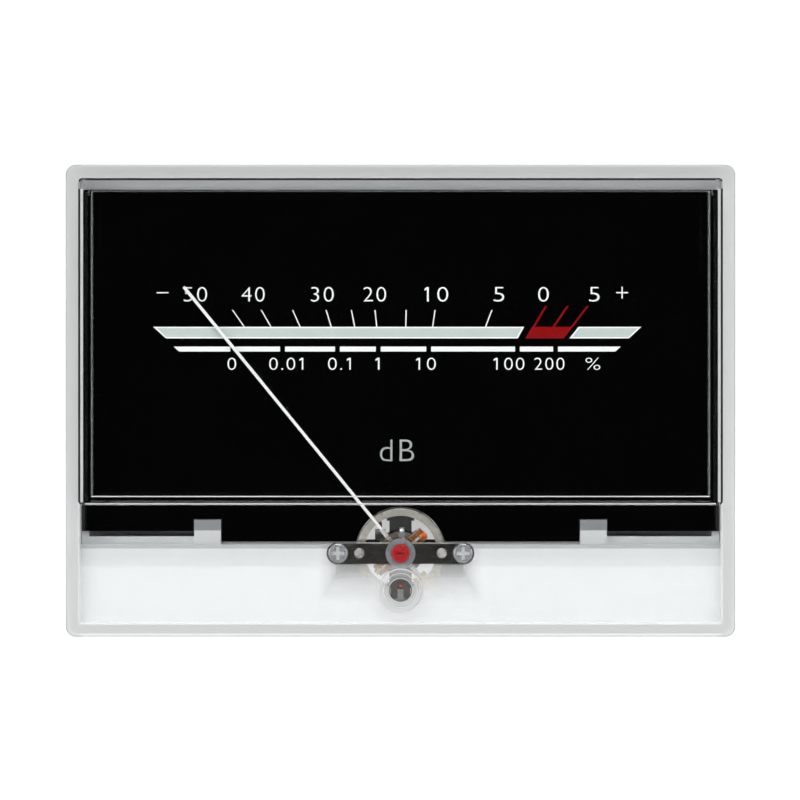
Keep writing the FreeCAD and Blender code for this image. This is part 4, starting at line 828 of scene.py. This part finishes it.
# Painted light on the cover's border: its places, fade, share and colour.
BORDER_LIGHT_REACH = 64.0
BORDER_LIGHT_TOP = 91.4
BORDER_LIGHT_FOOT = 3.0
BORDER_LIGHT_FADE = 0.5
BORDER_LIGHT_SHARE = 0.68
BORDER_LIGHT_COLOUR = (0.93, 0.94, 0.945, 1)


def clear_plastic(name, low, high):
    """Moulded clear plastic that lets the lamps through, with a faint wander in its polish."""
    material = finish(name, CLEAR_TINT, CLEAR_TINT, (low, high), scale=120.0)
    tree = material.node_tree
    link = tree.links.new
    shader = tree.nodes["Principled BSDF"]
    shader.inputs["Transmission Weight"].default_value = 1.0
    shader.inputs["IOR"].default_value = CLEAR_IOR
    paths = tree.nodes.new("ShaderNodeLightPath")
    through = tree.nodes.new("ShaderNodeBsdfTransparent")
    through.inputs["Color"].default_value = (*CLEAR_TINT, 1)
    choice = tree.nodes.new("ShaderNodeMixShader")
    output = tree.nodes["Material Output"]
    link(paths.outputs["Is Shadow Ray"], choice.inputs["Fac"])
    link(shader.outputs["BSDF"], choice.inputs[1])
    link(through.outputs["BSDF"], choice.inputs[2])
    link(choice.outputs["Shader"], output.inputs["Surface"])
    return material


def painted_border_light(material):
    """Paint light into a clear plastic along its sides, top and foot, as a share of matt white."""
    tree = material.node_tree
    matt = tree.nodes.new("ShaderNodeBsdfDiffuse")
    matt.inputs["Color"].default_value = BORDER_LIGHT_COLOUR
    border_light = None
    for axis, start in ((ALONG_X, BORDER_LIGHT_REACH), ((-1, 0, 0), BORDER_LIGHT_REACH), (ALONG_Z, BORDER_LIGHT_TOP),
                        ((0, 0, -1), -BORDER_LIGHT_FOOT)):
        mask = band(tree, axis, start, start + BORDER_LIGHT_FADE)
        border_light = combined(tree, "MAXIMUM", border_light, mask) if border_light else mask
    blend = tree.nodes.new("ShaderNodeMixShader")
    output = tree.nodes["Material Output"]
    tree.links.new(combined(tree, "MULTIPLY", border_light, BORDER_LIGHT_SHARE), blend.inputs["Fac"])
    tree.links.new(output.inputs["Surface"].links[0].from_socket, blend.inputs[1])
    tree.links.new(matt.outputs["BSDF"], blend.inputs[2])
    tree.links.new(blend.outputs["Shader"], output.inputs["Surface"])
    return material


dress(painted_border_light(clear_plastic("clear_cover_plastic", 0.0, 0.03)), "front_cover")
dress(clear_plastic("clear_adjuster_plastic", 0.02, 0.05), "zero_adjuster")

# Window foot edges: the two long edges of the window's foot catch the light as two pale lines.
# They are painted highlights, drawn as thin pale strips in the cover's plastic.
WINDOW_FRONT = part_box("front_cover")[0][1] / MM
WINDOW_FOOT = 26.5
FOOT_WALL = 1.6
GLASS = 2.0
STRIP_THICKNESS = 0.03
# Painted highlight: the pale finish of the window's foot edges and the adjuster's rims.
edge_highlight = finish("painted_edge_highlight", (0.80, 0.79, 0.78), (0.62, 0.61, 0.60), (0.4, 0.6), scale=700.0)


def strip(name, left, right, depth, foot, top, material):
    """A thin upright strip at a depth behind the window's front."""
    front = WINDOW_FRONT + depth
    slab(name, (left, front, foot), (right, front + STRIP_THICKNESS, top), material, "case")


# Each edge's name, half length, depth, and its foot and top above the window's foot.
FOOT_EDGES = (("foot_edge_outer", 62.6, 0.04, 0.20, 0.40),
              ("foot_edge_inner", 61.5, GLASS + 0.01, FOOT_WALL + 0.01, FOOT_WALL + 0.22))
for name, half, depth, foot, top in FOOT_EDGES:
    strip(name, -half, half, depth, WINDOW_FOOT + foot, WINDOW_FOOT + top, edge_highlight)

# Window side and upper edges: the two upright front edges and the upper one read as fine dark lines,
# painted as thin dark strips. Beside each upright one the thickness of the side wall catches the
# light as a pale strip, a painted highlight.
WINDOW_HALF = 64.0
WINDOW_TOP = 91.5
EDGE_DEPTH = 0.03
EDGE_INSET = 0.03
EDGE_WIDTH = 0.42
GLEAM_WIDTH = 0.55
EDGE_FOOT = WINDOW_FOOT + 0.6
EDGE_TOP = WINDOW_TOP - 2.2
UPPER_HALF = WINDOW_HALF - 1.4
UPPER_TOP = WINDOW_TOP - 0.1
wall_gleam = finish("wall_gleam", (0.60, 0.60, 0.61), (0.52, 0.52, 0.53), (0.4, 0.6), scale=700.0)
edge_outer = WINDOW_HALF - EDGE_INSET
edge_inner = edge_outer - EDGE_WIDTH
# Painted dark lines on the window's upright edges, and painted highlights beside them.
for side, end in ((-1, "left"), (1, "right")):
    for kind, near, far, material in (("edge", edge_inner, edge_outer, black_tape_and_painted_edge_lines),
                                      ("gleam", edge_inner - GLEAM_WIDTH, edge_inner - EDGE_INSET,
                                       wall_gleam)):
        left, right = sorted((side * near, side * far))
        strip(f"side_{kind}_{end}", left, right, EDGE_DEPTH, EDGE_FOOT, EDGE_TOP, material)
# Painted dark line on the window's upper edge.
strip("upper_edge", -UPPER_HALF, UPPER_HALF, EDGE_DEPTH, UPPER_TOP - EDGE_WIDTH, UPPER_TOP,
      black_tape_and_painted_edge_lines)

# Adjuster edges: the rims of the collar, its pocket and the slotted head are rounded over in the
# moulding, and each shows as a bright ring, a painted highlight drawn as a thin pale ring.
COLLAR_HEIGHT = 1.2
COLLAR_FRONT = WINDOW_FRONT + FLANGE_DEPTH - COLLAR_HEIGHT
RIM_STEPS = 96
RIM_SIDES = 10
RIM_FLATNESS = 0.8


def rounded_rim(name, radius, half, y):
    """A closed ring round the adjuster's axis, its section a little wider than it is deep."""
    points = []
    faces = []
    for step in range(RIM_STEPS):
        turn = 2 * math.pi * step / RIM_STEPS
        for side in range(RIM_SIDES):
            tilt = 2 * math.pi * side / RIM_SIDES
            reach = radius + half * math.cos(tilt)
            points.append((reach * math.cos(turn) * MM,
                           (y + RIM_FLATNESS * half * math.sin(tilt)) * MM,
                           (ADJUSTER_Z + reach * math.sin(turn)) * MM))
            here = step * RIM_SIDES
            ahead = (step + 1) % RIM_STEPS * RIM_SIDES
            after = (side + 1) % RIM_SIDES
            faces.append((here + side, here + after, ahead + after, ahead + side))
    mesh = bpy.data.meshes.new(name)
    mesh.from_pydata(points, [], faces)
    rim = bpy.data.objects.new(name, mesh)
    bpy.context.collection.objects.link(rim)
    bpy.context.view_layer.objects.active = rim
    rim.select_set(True)
    bpy.ops.object.mode_set(mode="EDIT")
    bpy.ops.mesh.select_all(action="SELECT")
    bpy.ops.mesh.normals_make_consistent(inside=False)
    bpy.ops.object.mode_set(mode="OBJECT")
    bpy.ops.object.shade_smooth()
    rim.data.materials.append(edge_highlight)
    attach(rim, "case")
    bpy.ops.object.select_all(action="DESELECT")


# Each rim's name, radius, half width and depth behind the collar's front.
RIMS = (("collar_rim", 4.28, 0.15, 0.0),
        ("pocket_rim", 3.38, 0.07, 0.0),
        ("bore_rim", 2.40, 0.07, 1.3))
for name, radius, half, depth in RIMS:
    rounded_rim(name, radius, half, COLLAR_FRONT + depth)

# Crank tip: the adjuster's crank pin stands behind its head, off the middle, and turns the zero
# lever's fork. Its end is dipped in red lacquer.
ADJUSTER_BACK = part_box("zero_adjuster")[1][1] / MM
CRANK_RADIUS = 0.75
TIP_DEPTH = 0.02
TIP_RADII = (0.43, 0.08, 0.43)
dip = finish("red_dip", (0.50, 0.002, 0.006), (0.42, 0.002, 0.004), (0.15, 0.25), scale=900.0,
             coat=0.5)
drop("crank_tip", (0, ADJUSTER_BACK - TIP_DEPTH, ADJUSTER_Z + CRANK_RADIUS), TIP_RADII, dip,
     "adjuster")
